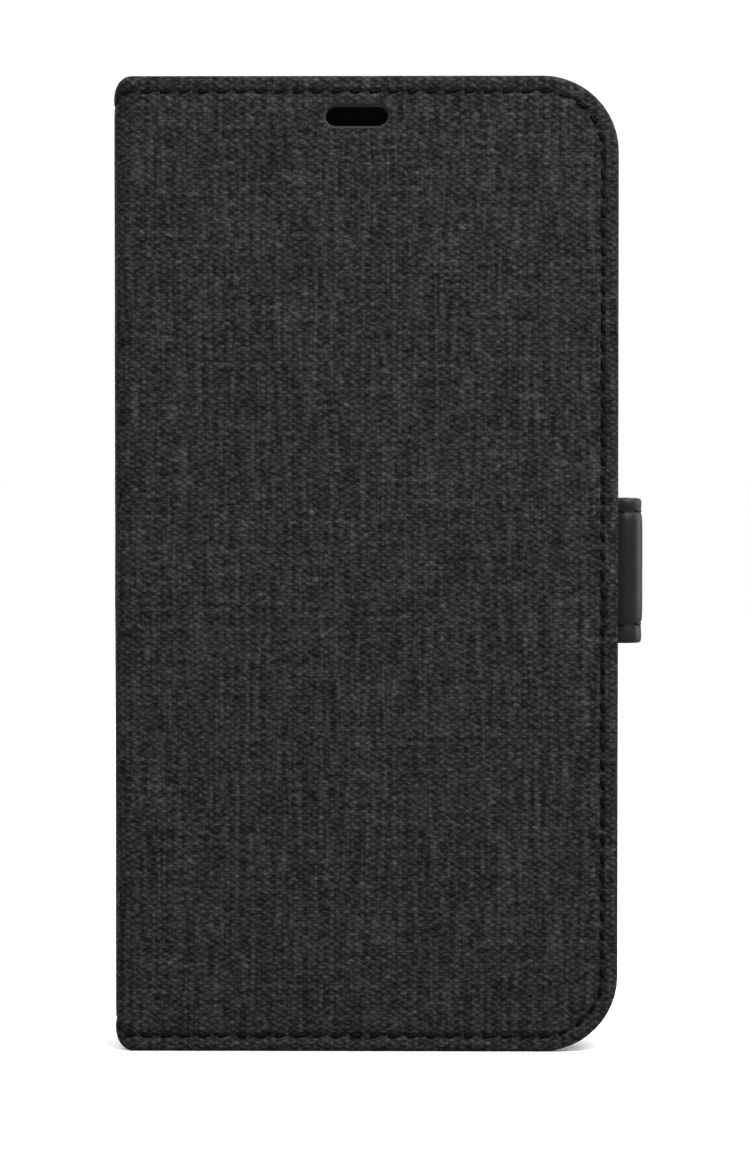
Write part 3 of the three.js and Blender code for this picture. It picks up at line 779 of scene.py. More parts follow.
def weave_group():
    """Woven cloth on a flat map: light weft floats over dark warp, with uneven heathered yarns."""

    def fill(nodes, given, result):
        place = given["Place"]
        drift = nodes.add("ShaderNodeTexNoise", noise_dimensions="2D")
        nodes.put(drift.inputs["Vector"], place)
        nodes.put(drift.inputs["Scale"], 0.5)
        nodes.put(drift.inputs["Detail"], 3.0)
        centred = nodes.vector("SUBTRACT", drift.outputs["Color"], (0.5, 0.5, 0.5))
        wander = nodes.vector("MULTIPLY", centred, given["Wander"])
        moved = nodes.vector("ADD", place, wander)
        x, y, _ = nodes.split(moved)
        u = nodes.math("DIVIDE", x, given["Pick width"])
        v = nodes.math("DIVIDE", y, given["Pick height"])
        p = nodes.math("MULTIPLY", nodes.math("ADD", u, v), 0.5)
        q = nodes.math("MULTIPLY", nodes.math("SUBTRACT", u, v), 0.5)
        cell_p = nodes.math("ROUND", p)
        cell_q = nodes.math("ROUND", q)
        off_p = nodes.math("SUBTRACT", p, cell_p)
        off_q = nodes.math("SUBTRACT", q, cell_q)
        wave_p = nodes.math("COSINE", nodes.math("MULTIPLY", off_p, math.pi))
        wave_q = nodes.math("COSINE", nodes.math("MULTIPLY", off_q, math.pi))
        crossing = nodes.math("MULTIPLY", wave_p, wave_q)
        picked = nodes.add("ShaderNodeTexWhiteNoise", noise_dimensions="3D")
        nodes.put(picked.inputs["Vector"], nodes.combine(cell_p, cell_q, 1.0))
        fibres = nodes.noise(nodes.vector("MULTIPLY", place, (0.85, 1.12, 1.0)), 1.0, 2.0, 0.5, "2D")
        hairs = nodes.noise(nodes.vector("MULTIPLY", place, (4.5, 1.6, 1.0)), 1.0, 3.0, 0.7, "2D")
        warp_slubs = nodes.noise(nodes.vector("MULTIPLY", place, (1.1, 0.075, 1.0)), 1.0, 2.0, 0.6, "2D")
        weft_slubs = nodes.noise(nodes.vector("MULTIPLY", place, (0.085, 1.1, 1.0)), 1.0, 2.0, 0.6, "2D")
        patches = nodes.noise(place, 0.2, 3.0, 0.55, "2D")
        tone = nodes.math("MULTIPLY", nodes.ramp(crossing, 0.05, 0.95), 0.21)
        for source, low, high, share in (
            (picked.outputs["Value"], 0.0, 1.0, 0.12),
            (fibres, 0.28, 0.72, 0.33),
            (hairs, 0.32, 0.72, 0.07),
            (warp_slubs, 0.38, 0.74, 0.24),
            (weft_slubs, 0.42, 0.76, 0.17),
            (patches, 0.3, 0.7, 0.05),
        ):
            part = nodes.math("MULTIPLY", nodes.ramp(source, low, high, smooth=False), share)
            tone = nodes.math("ADD", tone, part)
        raised = nodes.math("ADD", crossing, nodes.math("MULTIPLY", fibres, given["Fibre"]))
        raised = nodes.math("ADD", raised, nodes.math("MULTIPLY", warp_slubs, 0.8))
        nodes.put(result["Height"], raised)
        evened = nodes.ramp(tone, 0.15, 1.0, smooth=False)
        nodes.put(result["Tone"], nodes.math("POWER", evened, 1.5))
        light_pick = nodes.ramp(picked.outputs["Value"], 0.9, 1.0)
        nodes.put(result["Speck"], nodes.math("MULTIPLY", light_pick, nodes.ramp(fibres, 0.5, 0.7)))

    return group(
        "woven heather",
        [
            ("Place", VECTOR, None),
            ("Pick width", FLOAT, 0.90),
            ("Pick height", FLOAT, 0.56),
            ("Wander", VECTOR, (1.5, 0.9, 0.0)),
            ("Fibre", FLOAT, 1.3),
        ],
        [("Tone", FLOAT), ("Speck", FLOAT), ("Height", FLOAT)],
        fill,
    )


def grain_group():
    """Fine pebbled grain of coated leather, or the spark-eroded skin of a moulding."""

    def fill(nodes, given, result):
        place = given["Place"]
        cells = nodes.add("ShaderNodeTexVoronoi", feature="DISTANCE_TO_EDGE", voronoi_dimensions="3D")
        wobble = nodes.add("ShaderNodeTexNoise")
        nodes.put(wobble.inputs["Vector"], place)
        nodes.put(wobble.inputs["Scale"], given["Density"])
        shift = nodes.vector("MULTIPLY", wobble.outputs["Color"], given["Wander"])
        nodes.put(cells.inputs["Vector"], nodes.vector("ADD", place, shift))
        nodes.put(cells.inputs["Scale"], given["Density"])
        pebble = nodes.ramp(cells.outputs["Distance"], 0.0, 0.22)
        pores = nodes.noise(place, nodes.math("MULTIPLY", given["Density"], 3.1), 3.0, 0.65)
        broad = nodes.noise(place, 0.11, 3.0, 0.55)
        nodes.put(result["Height"], nodes.math("ADD", pebble, nodes.math("MULTIPLY", pores, 0.45)))
        nodes.put(result["Pores"], pores)
        nodes.put(result["Broad"], nodes.ramp(broad, 0.3, 0.7))

    return group(
        "fine grain",
        [("Place", VECTOR, None), ("Density", FLOAT, 2.2), ("Wander", VECTOR, (0.25, 0.25, 0.25))],
        [("Height", FLOAT), ("Pores", FLOAT), ("Broad", FLOAT)],
        fill,
    )


def nap_group():
    """Short brushed nap: soft strokes in drifting directions over a fine felt."""

    def fill(nodes, given, result):
        place = given["Place"]
        turn = nodes.noise(place, 0.09, 2.0, 0.5, "2D")
        x, y, _ = nodes.split(place)
        lean = nodes.math("MULTIPLY", nodes.math("SUBTRACT", turn, 0.5), 6.0)
        leaned = nodes.combine(nodes.math("ADD", x, nodes.math("MULTIPLY", lean, 0.4)), y, 0.0)
        strokes = nodes.noise(nodes.vector("MULTIPLY", leaned, (2.6, 0.7, 1.0)), 1.0, 4.0, 0.7, "2D")
        felt = nodes.noise(place, 6.5, 3.0, 0.7, "2D")
        nodes.put(result["Height"], nodes.math("ADD", nodes.math("MULTIPLY", strokes, 0.5), felt))
        nodes.put(result["Tone"], nodes.math("MULTIPLY", nodes.math("ADD", strokes, felt), 0.5))
        nodes.put(result["Brushed"], nodes.ramp(turn, 0.35, 0.65))

    return group(
        "brushed nap",
        [("Place", VECTOR, None)],
        [("Height", FLOAT), ("Tone", FLOAT), ("Brushed", FLOAT)],
        fill,
    )


WEAVE = weave_group()
GRAIN = grain_group()
NAP = nap_group()


def start_material(name):
    material = bpy.data.materials.new(name)
    material.use_nodes = True
    nodes = Nodes(material.node_tree)
    surface = material.node_tree.nodes["Principled BSDF"]
    return material, nodes, surface


def flat_place(nodes):
    """The piece's own flat map, in millimetres."""
    flat = nodes.add("ShaderNodeUVMap", uv_map="cloth_map").outputs["UV"]
    return nodes.vector("MULTIPLY", flat, (1 / UV_PER_MM, 1 / UV_PER_MM, 0.0))


def solid_place(nodes):
    """The piece's own coordinates, in millimetres."""
    own = nodes.add("ShaderNodeTexCoord").outputs["Object"]
    return nodes.vector("MULTIPLY", own, (1 / MM, 1 / MM, 1 / MM))


def use_group(nodes, tree, place, **values):
    node = nodes.add("ShaderNodeGroup", node_tree=tree)
    nodes.put(node.inputs["Place"], place)
    for label, value in values.items():
        node.inputs[label.replace("_", " ").capitalize()].default_value = value
    return node.outputs


def bump(nodes, surface, height, distance, strength):
    node = nodes.add("ShaderNodeBump")
    node.inputs["Strength"].default_value = strength
    node.inputs["Distance"].default_value = distance * MM
    nodes.put(node.inputs["Height"], height)
    nodes.put(surface.inputs["Normal"], node.outputs["Normal"])


def painted_groove_shade(nodes, strength):
    """Painted shade for a sewn groove: the colour is darkened where the thread pulls the surface in."""
    mark = nodes.add("ShaderNodeAttribute", attribute_name="seam").outputs["Fac"]
    return nodes.math("MULTIPLY", mark, strength, clamp=True)


def cloth_material():
    """Charcoal heathered cloth, matt, with darker warp and a few light picks."""
    material, nodes, surface = start_material("heathered charcoal cloth")
    weave = use_group(nodes, WEAVE, flat_place(nodes))
    colour = nodes.mix(weave["Tone"], grey(0.0058, 0.01), grey(0.076, 0.01))
    colour = nodes.mix(nodes.math("MULTIPLY", weave["Speck"], 0.3), colour, grey(0.12))
    # Painted shade: the cloth is darkened along the sewn groove
    colour = nodes.mix(painted_groove_shade(nodes, 0.42), colour, grey(0.0012))
    nodes.put(surface.inputs["Base Color"], colour)
    nodes.put(surface.inputs["Roughness"], nodes.ramp(weave["Tone"], 0.0, 1.0, 0.95, 0.8))
    surface.inputs["Specular IOR Level"].default_value = 0.08
    surface.inputs["Sheen Weight"].default_value = 0.02
    surface.inputs["Sheen Roughness"].default_value = 0.5
    bump(nodes, surface, weave["Height"], 0.16, 0.8)
    return material


def leather_material(name, dark, light, rough, density, depth):
    """Coated synthetic leather: fine pebble, soft uneven gloss."""
    material, nodes, surface = start_material(name)
    grain = use_group(nodes, GRAIN, solid_place(nodes), density=density)
    pores = nodes.math("MULTIPLY", grain["Pores"], 0.5)
    broad = nodes.math("MULTIPLY", grain["Broad"], 0.5)
    tone = nodes.math("ADD", pores, broad)
    colour = nodes.mix(tone, grey(dark), grey(light))
    # Painted shade: the leather is darkened along the sewn groove
    colour = nodes.mix(painted_groove_shade(nodes, 0.7), colour, grey(0.002))
    nodes.put(surface.inputs["Base Color"], colour)
    nodes.put(surface.inputs["Roughness"], nodes.ramp(tone, 0.1, 0.9, rough + 0.07, rough - 0.05))
    surface.inputs["Specular IOR Level"].default_value = 0.3
    bump(nodes, surface, grain["Height"], depth, 0.5)
    return material


def nap_material(name, dark, light):
    """Brushed microfibre lining."""
    material, nodes, surface = start_material(name)
    nap = use_group(nodes, NAP, flat_place(nodes))
    felt = nodes.math("MULTIPLY", nap["Tone"], 0.65)
    brushed = nodes.math("MULTIPLY", nap["Brushed"], 0.1)
    share = nodes.ramp(nodes.math("ADD", felt, brushed), 0.25, 0.85)
    nodes.put(surface.inputs["Base Color"], nodes.mix(share, grey(dark), grey(light)))
    surface.inputs["Roughness"].default_value = 0.95
    surface.inputs["Specular IOR Level"].default_value = 0.2
    surface.inputs["Sheen Weight"].default_value = 0.35
    surface.inputs["Sheen Roughness"].default_value = 0.4
    bump(nodes, surface, nap["Height"], 0.06, 0.6)
    return material


def moulding_material(name, dark, light, rough):
    """Flexible moulded plastic with a fine eroded skin."""
    material, nodes, surface = start_material(name)
    grain = use_group(nodes, GRAIN, solid_place(nodes), density=6.0, wander=(0.1, 0.1, 0.1))
    nodes.put(surface.inputs["Base Color"], nodes.mix(grain["Broad"], grey(dark), grey(light)))
    roughness = nodes.ramp(grain["Pores"], 0.25, 0.75, rough - 0.06, rough + 0.08)
    nodes.put(surface.inputs["Roughness"], roughness)
    bump(nodes, surface, grain["Height"], 0.02, 0.5)
    return material


def thread_material():
    """Waxed black sewing thread, its plies picked out by fine noise."""
    material, nodes, surface = start_material("black waxed thread")
    place = solid_place(nodes)
    plies = nodes.noise(nodes.vector("MULTIPLY", place, (3.0, 3.0, 3.0)), 2.2, 2.0, 0.6)
    nodes.put(surface.inputs["Base Color"], nodes.mix(plies, grey(0.0006), grey(0.003)))
    nodes.put(surface.inputs["Roughness"], nodes.ramp(plies, 0.2, 0.8, 0.7, 0.55))
    surface.inputs["Specular IOR Level"].default_value = 0.1
    bump(nodes, surface, plies, 0.05, 0.5)
    return material


def board_material():
    """Pressed black fibre board."""
    material, nodes, surface = start_material("black pressed board")
    place = solid_place(nodes)
    fibres = nodes.noise(nodes.vector("MULTIPLY", place, (0.8, 3.0, 0.8)), 1.6, 4.0, 0.7)
    nodes.put(surface.inputs["Base Color"], nodes.mix(fibres, grey(0.010), grey(0.032)))
    surface.inputs["Roughness"].default_value = 0.9
    bump(nodes, surface, fibres, 0.05, 0.6)
    return material


def metal_material(name, dark, light, rough, stretch):
    """Plated or rolled metal with fine drawn lines."""
    material, nodes, surface = start_material(name)
    lines = nodes.noise(nodes.vector("MULTIPLY", solid_place(nodes), stretch), 1.0, 4.0, 0.6)
    nodes.put(surface.inputs["Base Color"], nodes.mix(lines, grey(dark), grey(light)))
    surface.inputs["Metallic"].default_value = 1.0
    nodes.put(surface.inputs["Roughness"], nodes.ramp(lines, 0.2, 0.8, rough, rough + 0.15))
    bump(nodes, surface, lines, 0.01, 0.4)
    return material


def foam_material():
    """Closed-cell adhesive pad."""
    material, nodes, surface = start_material("adhesive foam")
    cells = nodes.noise(solid_place(nodes), 2.4, 3.0, 0.6)
    nodes.put(surface.inputs["Base Color"], nodes.mix(cells, grey(0.02), grey(0.05)))
    surface.inputs["Roughness"].default_value = 0.75
    bump(nodes, surface, cells, 0.05, 0.6)
    return material


CLOTH = cloth_material()
STRAP_LEATHER = leather_material("smooth black strap leather", 0.0035, 0.009, 0.38, 2.6, 0.03)
POCKET_LEATHER = leather_material("black pocket leather", 0.009, 0.020, 0.5, 1.9, 0.06)
LINING = nap_material("black microfibre", 0.007, 0.03)
SHELL = moulding_material("black moulded plastic", 0.007, 0.011, 0.46)
KEY = moulding_material("black moulded key", 0.008, 0.013, 0.38)
THREAD = thread_material()
BOARD = board_material()
MAGNET = metal_material("nickel plate", 0.5, 0.66, 0.2, (1.0, 6.0, 1.0))
STEEL = metal_material("rolled steel", 0.34, 0.5, 0.32, (0.4, 2.0, 8.0))
FOAM = foam_material()


# ---- Cover: cloth and lining ----

SLOT_WIDTH = 10.7
SLOT_HEIGHT = 3.45
SLOT_X = SPINE_X + 41.8
SLOT_Z = TOP_Z - 6.9
CAMERA_WIDTH = 37.0
CAMERA_HEIGHT = 39.0
CAMERA_CORNER = 9.0
COLLAR_WALL = 1.2
CAMERA_X = 14.45
CAMERA_Z = 142.4
WINDOW_ROOM = 0.3
STRAP_ROOM = 0.15
NOTCH_DEPTHS = (0.42, 2.4)
COVER_FLARE = [
    (-1.0, -0.42),
    (-0.02, -0.42),
    (0.08, -0.22),
    (0.22, -0.09),
    (0.42, -0.02),
    (0.7, 0.0),
    (3.2, 0.0),
]
NEEDLE_STITCH = ((2.15, 0.34, 0.7), 0.13, 1)
BOBBIN_STITCH = ((2.25, 0.24, 0.8), 2.12, -1)


def opening_tool(cx, cz, width, height, radius, is_front):
    """A cutter that flares at the cover's outer face, so that the cloth rolls into the opening."""
    outer = FRONT_Y if is_front else BACK_Y
    sign = 1 if is_front else -1
    outlines = [
        (rounded_outline(cx, cz, width, height, radius, 14, inset), outer + sign * depth)
        for depth, inset in COVER_FLARE
    ]
    return loft("opening tool", outlines, facing_y)


def box_tool(low, high):
    x0, y0, z0 = low
    x1, y1, z1 = high
    outline = [(x0, y0), (x1, y0), (x1, y1), (x0, y1)]
    return loft("box tool", [(outline, z0), (outline, z1)], facing_z)


def cover_opening(is_front):
    if is_front:
        return opening_tool(SLOT_X, SLOT_Z, SLOT_WIDTH, SLOT_HEIGHT, SLOT_HEIGHT / 2, True)
    room = 2 * (COLLAR_WALL + WINDOW_ROOM)
    radius = CAMERA_CORNER + COLLAR_WALL + WINDOW_ROOM
    return opening_tool(CAMERA_X, CAMERA_Z, CAMERA_WIDTH + room, CAMERA_HEIGHT + room, radius, False)


def strap_notch():
    """Cutter for the notch in the cover's edge where the strap goes in."""
    near, far = NOTCH_DEPTHS
    low = (EDGE_X - 1.4, FRONT_Y + near, side_low.z - STRAP_ROOM)
    high = (EDGE_X + 1.0, FRONT_Y + far, side_high.z + STRAP_ROOM)
    return box_tool(low, high)


def make_cover(is_front):
    side = "front" if is_front else "back"
    panel = cover_panel(is_front)
    cloth = panel.build(f"{side}_cover_cloth", CLOTH_RINGS, wobble=0.05, seam=SEAM_INSET)
    cut_with(cloth, [cover_opening(is_front)] + ([strap_notch()] if is_front else []))
    lining = panel.build(f"{side}_cover_lining", LINING_RINGS, wobble=0.03)
    cut_with(lining, [cover_opening(is_front)])
    for sheet, material, slot in ((cloth, CLOTH, "cloth"), (lining, LINING, "lining")):
        smooth_by_angle(sheet, 50)
        dress(sheet, material, slot)
        bend_with_cover(sheet, is_front)

    outer = stitches(f"{side}_needle_stitches", panel, SEAM_INSET, STITCH_PITCH, *NEEDLE_STITCH)
    inner = stitches(f"{side}_bobbin_stitches", panel, SEAM_INSET, STITCH_PITCH, *BOBBIN_STITCH)
    for seam in (outer, inner):
        dress(seam, THREAD, "thread")
        bend_with_cover(seam, is_front)

    if is_front:
        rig.replaces(cloth, "front_fabric", "spine_fabric")
        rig.replaces(lining, "front_lining", "spine_lining")
        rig.replaces(outer, "front_needle_thread", "spine_top_thread")
        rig.replaces(inner, "front_bobbin_thread")
    else:
        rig.replaces(cloth, "back_fabric")
        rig.replaces(lining, "back_lining")
        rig.replaces(outer, "back_needle_thread", "spine_bottom_thread")
        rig.replaces(inner, "back_bobbin_thread")


# ---- Pockets ----

POCKET_RINGS = [
    (0.30, 0.74),
    (0.10, 0.68),
    (0.02, 0.55),
    (0.0, 0.35),
    (0.05, 0.16),
    (0.18, 0.05),
    (0.5, 0.0),
    (1.0, 0.0),
    (1.35, 0.06),
    (1.55, 0.10),
    (1.75, 0.06),
    (2.1, 0.0),
    (3.2, -0.02),
]
POCKET_SEAM = 1.55
POCKET_PITCH = 2.6
POCKET_STITCH = (1.8, 0.17, 0.8)
HEM_WIDTH = 3.0
HEM_RISE = 0.1
HEM_SEAM = 2.1
HEM_COLUMNS = [0, 0.06, 0.15, 0.3, 0.6, 1.2, 2.0, 2.5, 2.65, 2.8, 2.95, 3.1, 3.4]
MOUTH_LIP = 0.35
MOUTH_DROP = 0.28
MOUTH_SEAM_ENDS = 1.6


class Line:
    """A straight seam up a pocket's mouth."""

    def __init__(self, panel, along, low, high):
        self.place = panel.place
        self.points = [(along, high), (along, low)]

    def ring(self, inset):
        return self.points


def make_pocket(node, lower_corner):
    low, high = box_mm(node)
    face = high.y

    def place(along, across, depth):
        return (along, face - depth, across)

    def hem(along, across):
        """The folded mouth is a little thicker, with a rounded lip."""
        near = along - low.x
        if near < MOUTH_LIP:
            return HEM_RISE - MOUTH_DROP * (1 - near / MOUTH_LIP) ** 2
        return HEM_RISE * (1 - smooth_share(near, HEM_WIDTH - 0.4, HEM_WIDTH + 0.1))

    columns = [low.x + step for step in HEM_COLUMNS]
    columns += list(np.linspace(low.x + 5, high.x - max(lower_corner, 1.0), 10))
    panel = Panel(place, high.x, low.z, high.z, (lower_corner, 1.0), columns, rows=16)
    pocket = panel.build(f"{node}_leather", POCKET_RINGS, wobble=0.03, crown=hem, seam=POCKET_SEAM)
    dress(pocket, POCKET_LEATHER, "pocket")
    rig.ride(pocket, "front_cover")
    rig.replaces(pocket, node)
    edge = stitches(
        f"{node}_edge_stitches", panel, POCKET_SEAM, POCKET_PITCH, POCKET_STITCH, 0.06, 1
    )
    line = Line(panel, low.x + HEM_SEAM, low.z + MOUTH_SEAM_ENDS, high.z - MOUTH_SEAM_ENDS)
    mouth = stitches(f"{node}_mouth_stitches", line, 0, POCKET_PITCH, POCKET_STITCH, -0.09, 1)
    for seam in (edge, mouth):
        dress(seam, THREAD, "thread")
        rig.ride(seam, "front_cover")


# ---- Moulded shell and keys ----

LIP = 0.6
CAVITY_DEPTH = 7.4
SHELL_BACK = 1.4
SHELL_WALL = 1.2
SHELL_CORNER = 12.9
SHELL_FRONT = shell_low.y
SHELL_FLOOR = SHELL_FRONT + LIP + CAVITY_DEPTH
SHELL_REAR = SHELL_FLOOR + SHELL_BACK
SHELL_MIDDLE_X = (shell_low.x + shell_high.x) / 2
SHELL_MIDDLE_Z = (shell_low.z + shell_high.z) / 2
PORT_Y = SHELL_FRONT + LIP + CAVITY_DEPTH / 2
PHONE_TOP = shell_high.z - SHELL_WALL - 0.1

# Holes in the bottom wall, the middle one first: offset from the middle, width and height
PORTS = ((0, 14, 5.6), (-17, 12, 2.5), (17, 12, 2.5))
PORT_FLARE = [(-1.0, -0.35), (0.0, -0.35), (0.12, -0.12), (0.35, 0.0), (3.0, 0.0)]
SWITCH_FROM_TOP = 26
SWITCH_WIDTH = 4.6
SWITCH_LENGTH = 9
KEYS = {"power_key": 1, "volume_up_key": -1, "volume_down_key": -1}
KEY_FLANGE = 1.2
KEY_FLANGE_DEPTH = 0.5
KEY_ROOM = 0.4
KEY_CORNER = 5

# Section of the shell, as inset from its outline and y: from the floor's inside up the wall,
# round the lip, and down the outside to the floor's rear.
WALL_PROFILE = [
    (3.2, SHELL_FLOOR),
    (2.0, SHELL_FLOOR),
    (1.5, SHELL_FLOOR - 0.08),
    (1.28, SHELL_FLOOR - 0.25),
    (1.2, SHELL_FLOOR - 0.55),
    (1.2, SHELL_FRONT + LIP + 0.5),
    (1.27, SHELL_FRONT + LIP + 0.15),
    (1.45, SHELL_FRONT + LIP + 0.02),
    (1.8, SHELL_FRONT + LIP),
    (1.95, SHELL_FRONT + LIP - 0.08),
    (2.0, SHELL_FRONT + LIP - 0.25),
    (1.97, SHELL_FRONT + 0.12),
    (1.85, SHELL_FRONT + 0.02),
    (1.6, SHELL_FRONT),
    (0.95, SHELL_FRONT),
    (0.6, SHELL_FRONT + 0.04),
    (0.3, SHELL_FRONT + 0.18),
    (0.1, SHELL_FRONT + 0.45),
    (0.0, SHELL_FRONT + 0.9),
    (0.0, SHELL_REAR - 1.9),
    (0.08, SHELL_REAR - 1.2),
    (0.32, SHELL_REAR - 0.6),
    (0.75, SHELL_REAR - 0.2),
    (1.3, SHELL_REAR - 0.03),
    (1.9, SHELL_REAR),
    (3.2, SHELL_REAR),
]
COLLAR_PROFILE = [
    (0.0, SHELL_REAR - 0.4),
    (0.0, shell_high.y - 0.4),
    (0.08, shell_high.y - 0.15),
    (0.28, shell_high.y - 0.02),
    (0.5, shell_high.y),
    (0.8, shell_high.y),
    (1.0, shell_high.y - 0.06),
    (1.14, shell_high.y - 0.22),
    (1.2, shell_high.y - 0.5),
    (1.2, SHELL_REAR - 0.4),
]


def shell_body():
    width, height = shell_high.x - shell_low.x, shell_high.z - shell_low.z
    middle = (SHELL_MIDDLE_X, SHELL_MIDDLE_Z)
    outlines = [
        (rounded_outline(*middle, width, height, SHELL_CORNER, 16, inset), level)
        for inset, level in WALL_PROFILE
    ]
    return loft("phone_shell_moulding", outlines, facing_y)


def camera_outline(margin, inset=0.0):
    """Outline of the camera window, a margin larger all round."""
    width, height = CAMERA_WIDTH + 2 * margin, CAMERA_HEIGHT + 2 * margin
    return rounded_outline(CAMERA_X, CAMERA_Z, width, height, CAMERA_CORNER + margin, 14, inset)


def camera_collar():
    outlines = [(camera_outline(COLLAR_WALL, inset), level) for inset, level in COLLAR_PROFILE]
    return loft("collar tool", outlines, facing_y, closed_ring=True)


def camera_window():
    outlines = [(camera_outline(0), level) for level in (SHELL_FLOOR - 1, SHELL_REAR + 4)]
    return loft("window tool", outlines, facing_y)


def port_tool(offset, width, height):
    """A pill-shaped hole in the shell's bottom wall, flared at the outside."""
    x = SHELL_MIDDLE_X + offset
    outlines = [
        (rounded_outline(x, PORT_Y, width, height, height / 2, 8, inset), shell_low.z + level)
        for level, inset in PORT_FLARE
    ]
    return loft("port tool", outlines, facing_z)


def switch_tool():
    z = PHONE_TOP - SWITCH_FROM_TOP
    pill = rounded_outline(PORT_Y, z, SWITCH_WIDTH, SWITCH_LENGTH, SWITCH_WIDTH / 2, 8)
    return loft("switch tool", [(pill, shell_low.x - 1), (pill, shell_low.x + 2)], facing_x)


def key_tools(node, outward):
    """A key's hole through the wall, and the wider recess inside it for the key's flange."""
    low, high = box_mm(node)
    wall = shell_high.x if outward > 0 else shell_low.x
    inner = wall - outward * SHELL_WALL
    tools = []
    for flange, end in ((KEY_FLANGE, wall + outward), (0, inner + outward * KEY_FLANGE_DEPTH)):
        outline = rounded_outline(
            (low.y + high.y) / 2,
            (low.z + high.z) / 2,
            high.y - low.y - flange + KEY_ROOM,
            high.z - low.z - flange + KEY_ROOM,
            KEY_CORNER,
            8,
        )
        levels = sorted((inner - outward, end))
        tools.append(loft("key tool", [(outline, level) for level in levels], facing_x))
    return tools


def make_shell():
    shell = shell_body()
    collar = camera_collar()
    tools = [camera_window()]
    tools += [port_tool(*port) for port in PORTS]
    tools.append(switch_tool())
    for node, outward in KEYS.items():
        tools += key_tools(node, outward)
    cut_with(shell, tools)
    cut_with(shell, [collar], "UNION")
    smooth_by_angle(shell, 42)
    dress(shell, SHELL, "shell")
    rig.ride(shell, "back_cover")
    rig.replaces(shell, "phone_shell")


# The key's rim and slightly hollow face: inset from its stem, and drop below its highest ring
KEY_DOME = [(0, 0.3), (0.06, 0.14), (0.2, 0.03), (0.45, 0.0), (0.8, 0.02), (1.1, 0.07)]


def make_key(node, outward):
    low, high = box_mm(node)
    cy, cz = (low.y + high.y) / 2, (low.z + high.z) / 2
    wide, tall = high.y - low.y, high.z - low.z
    inner = low.x if outward > 0 else high.x
    face = high.x - low.x
    stem = KEY_FLANGE / 2
    profile = [(0.1, 0.0), (0.0, 0.08), (0.0, 0.36), (0.06, 0.4), (stem, 0.42)]
    profile += [(stem + inset, face - drop) for inset, drop in KEY_DOME]
    outlines = [
        (rounded_outline(cy, cz, wide, tall, KEY_CORNER, 10, inset), inner + outward * level)
        for inset, level in profile
    ]
    key = loft(f"{node}_moulding", outlines, facing_x, angle=45)
    dress(key, KEY, "key")
    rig.ride(key, node)
    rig.replaces(key, node)


# ---- Strap ----

STRAP_RADIUS = 3.3
STRAP_OUT_X = side_high.x
STRAP_CENTRE_X = STRAP_OUT_X - STRAP_RADIUS
STRAP_FRONT_CENTRE = side_low.y + STRAP_RADIUS
STRAP_BACK_CENTRE = side_high.y - STRAP_RADIUS
STRAP_MIDDLE_Y = (STRAP_FRONT_CENTRE + STRAP_BACK_CENTRE) / 2
STRAP_SIDE_HALF = (STRAP_BACK_CENTRE - STRAP_FRONT_CENTRE) / 2
STRAP_ARC = STRAP_RADIUS * math.pi / 2
STRAP_TURNED = STRAP_SIDE_HALF + STRAP_ARC
STRAP_SEAM = 2.2
STRAP_SEAM_EXTRA = 1.0
ANCHOR_PARING = 0.35
ANCHOR_SINK = 0.27

STRAP_RINGS = [
    (1.2, 1.35),
    (0.55, 1.33),
    (0.2, 1.22),
    (0.05, 1.03),
    (0.0, 0.86),
    (0.08, 0.78),
    (0.0, 0.70),
    (0.03, 0.52),
    (0.14, 0.34),
    (0.36, 0.22),
    (0.8, 0.17),
    (1.4, 0.18),
    (1.85, 0.25),
    (2.2, 0.32),
    (2.55, 0.25),
    (2.95, 0.10),
    (3.7, 0.03),
    (5.0, 0.0),
]


def strap_place(is_front):
    """Wraps a flat point of the strap from the middle of its side towards the front or the back."""
    sign = -1 if is_front else 1
    centre_y = STRAP_FRONT_CENTRE if is_front else STRAP_BACK_CENTRE

    def place(along, across, depth):
        if is_front:
            pared = smooth_share(along, STRAP_TURNED, STRAP_TURNED + 1.0)
            depth = depth * (1 - ANCHOR_PARING * pared) + ANCHOR_SINK * pared
        if along <= STRAP_SIDE_HALF:
            return (STRAP_OUT_X - depth, STRAP_MIDDLE_Y + sign * along, across)
        if along <= STRAP_TURNED:
            turn = (along - STRAP_SIDE_HALF) / STRAP_RADIUS
            reach = STRAP_RADIUS - depth
            return (
                STRAP_CENTRE_X + reach * math.cos(turn),
                centre_y + sign * reach * math.sin(turn),
                across,
            )
        return (
            STRAP_CENTRE_X - (along - STRAP_TURNED),
            centre_y + sign * (STRAP_RADIUS - depth),
            across,
        )

    return place


MAGNET_NODES = ("strap_magnet_lower", "strap_magnet_upper")
MAGNET_HEIGHTS = [sum(corner.z for corner in box_mm(node)) / 2 for node in MAGNET_NODES]
MAGNET_X = sum(corner.x for corner in box_mm("strap_magnet_upper")) / 2
MAGNET_RISE = 0.07


def tip_lift(along, across):
    """The tip swells over its stiffener and a little more over each magnet."""
    rise = smooth_share(along, STRAP_TURNED - 1.5, STRAP_TURNED + 6.0)
    end = STRAP_TURNED + STRAP_CENTRE_X - tip_low.x
    room = min(across - side_low.z, side_high.z - across, end - along)
    lift = (tip_high.y - side_high.y) * rise * (0.45 + 0.55 * smooth_share(room, 1.5, 4.5))
    along_magnet = STRAP_TURNED + STRAP_CENTRE_X - MAGNET_X
    for height in MAGNET_HEIGHTS:
        distance = math.hypot(along - along_magnet, across - height)
        lift += MAGNET_RISE * (1 - smooth_share(distance, 3.2, 4.8))
    return lift


SEAM_LIFT = 0.76


class LiftedPanel:
    """A panel whose seams follow its swollen face."""

    def __init__(self, panel, lift):
        self.panel = panel
        self.lift = lift

    def ring(self, inset):
        return self.panel.ring(inset)

    def place(self, along, across, depth):
        return self.panel.place(along, across, depth - self.lift(along, across) * SEAM_LIFT)


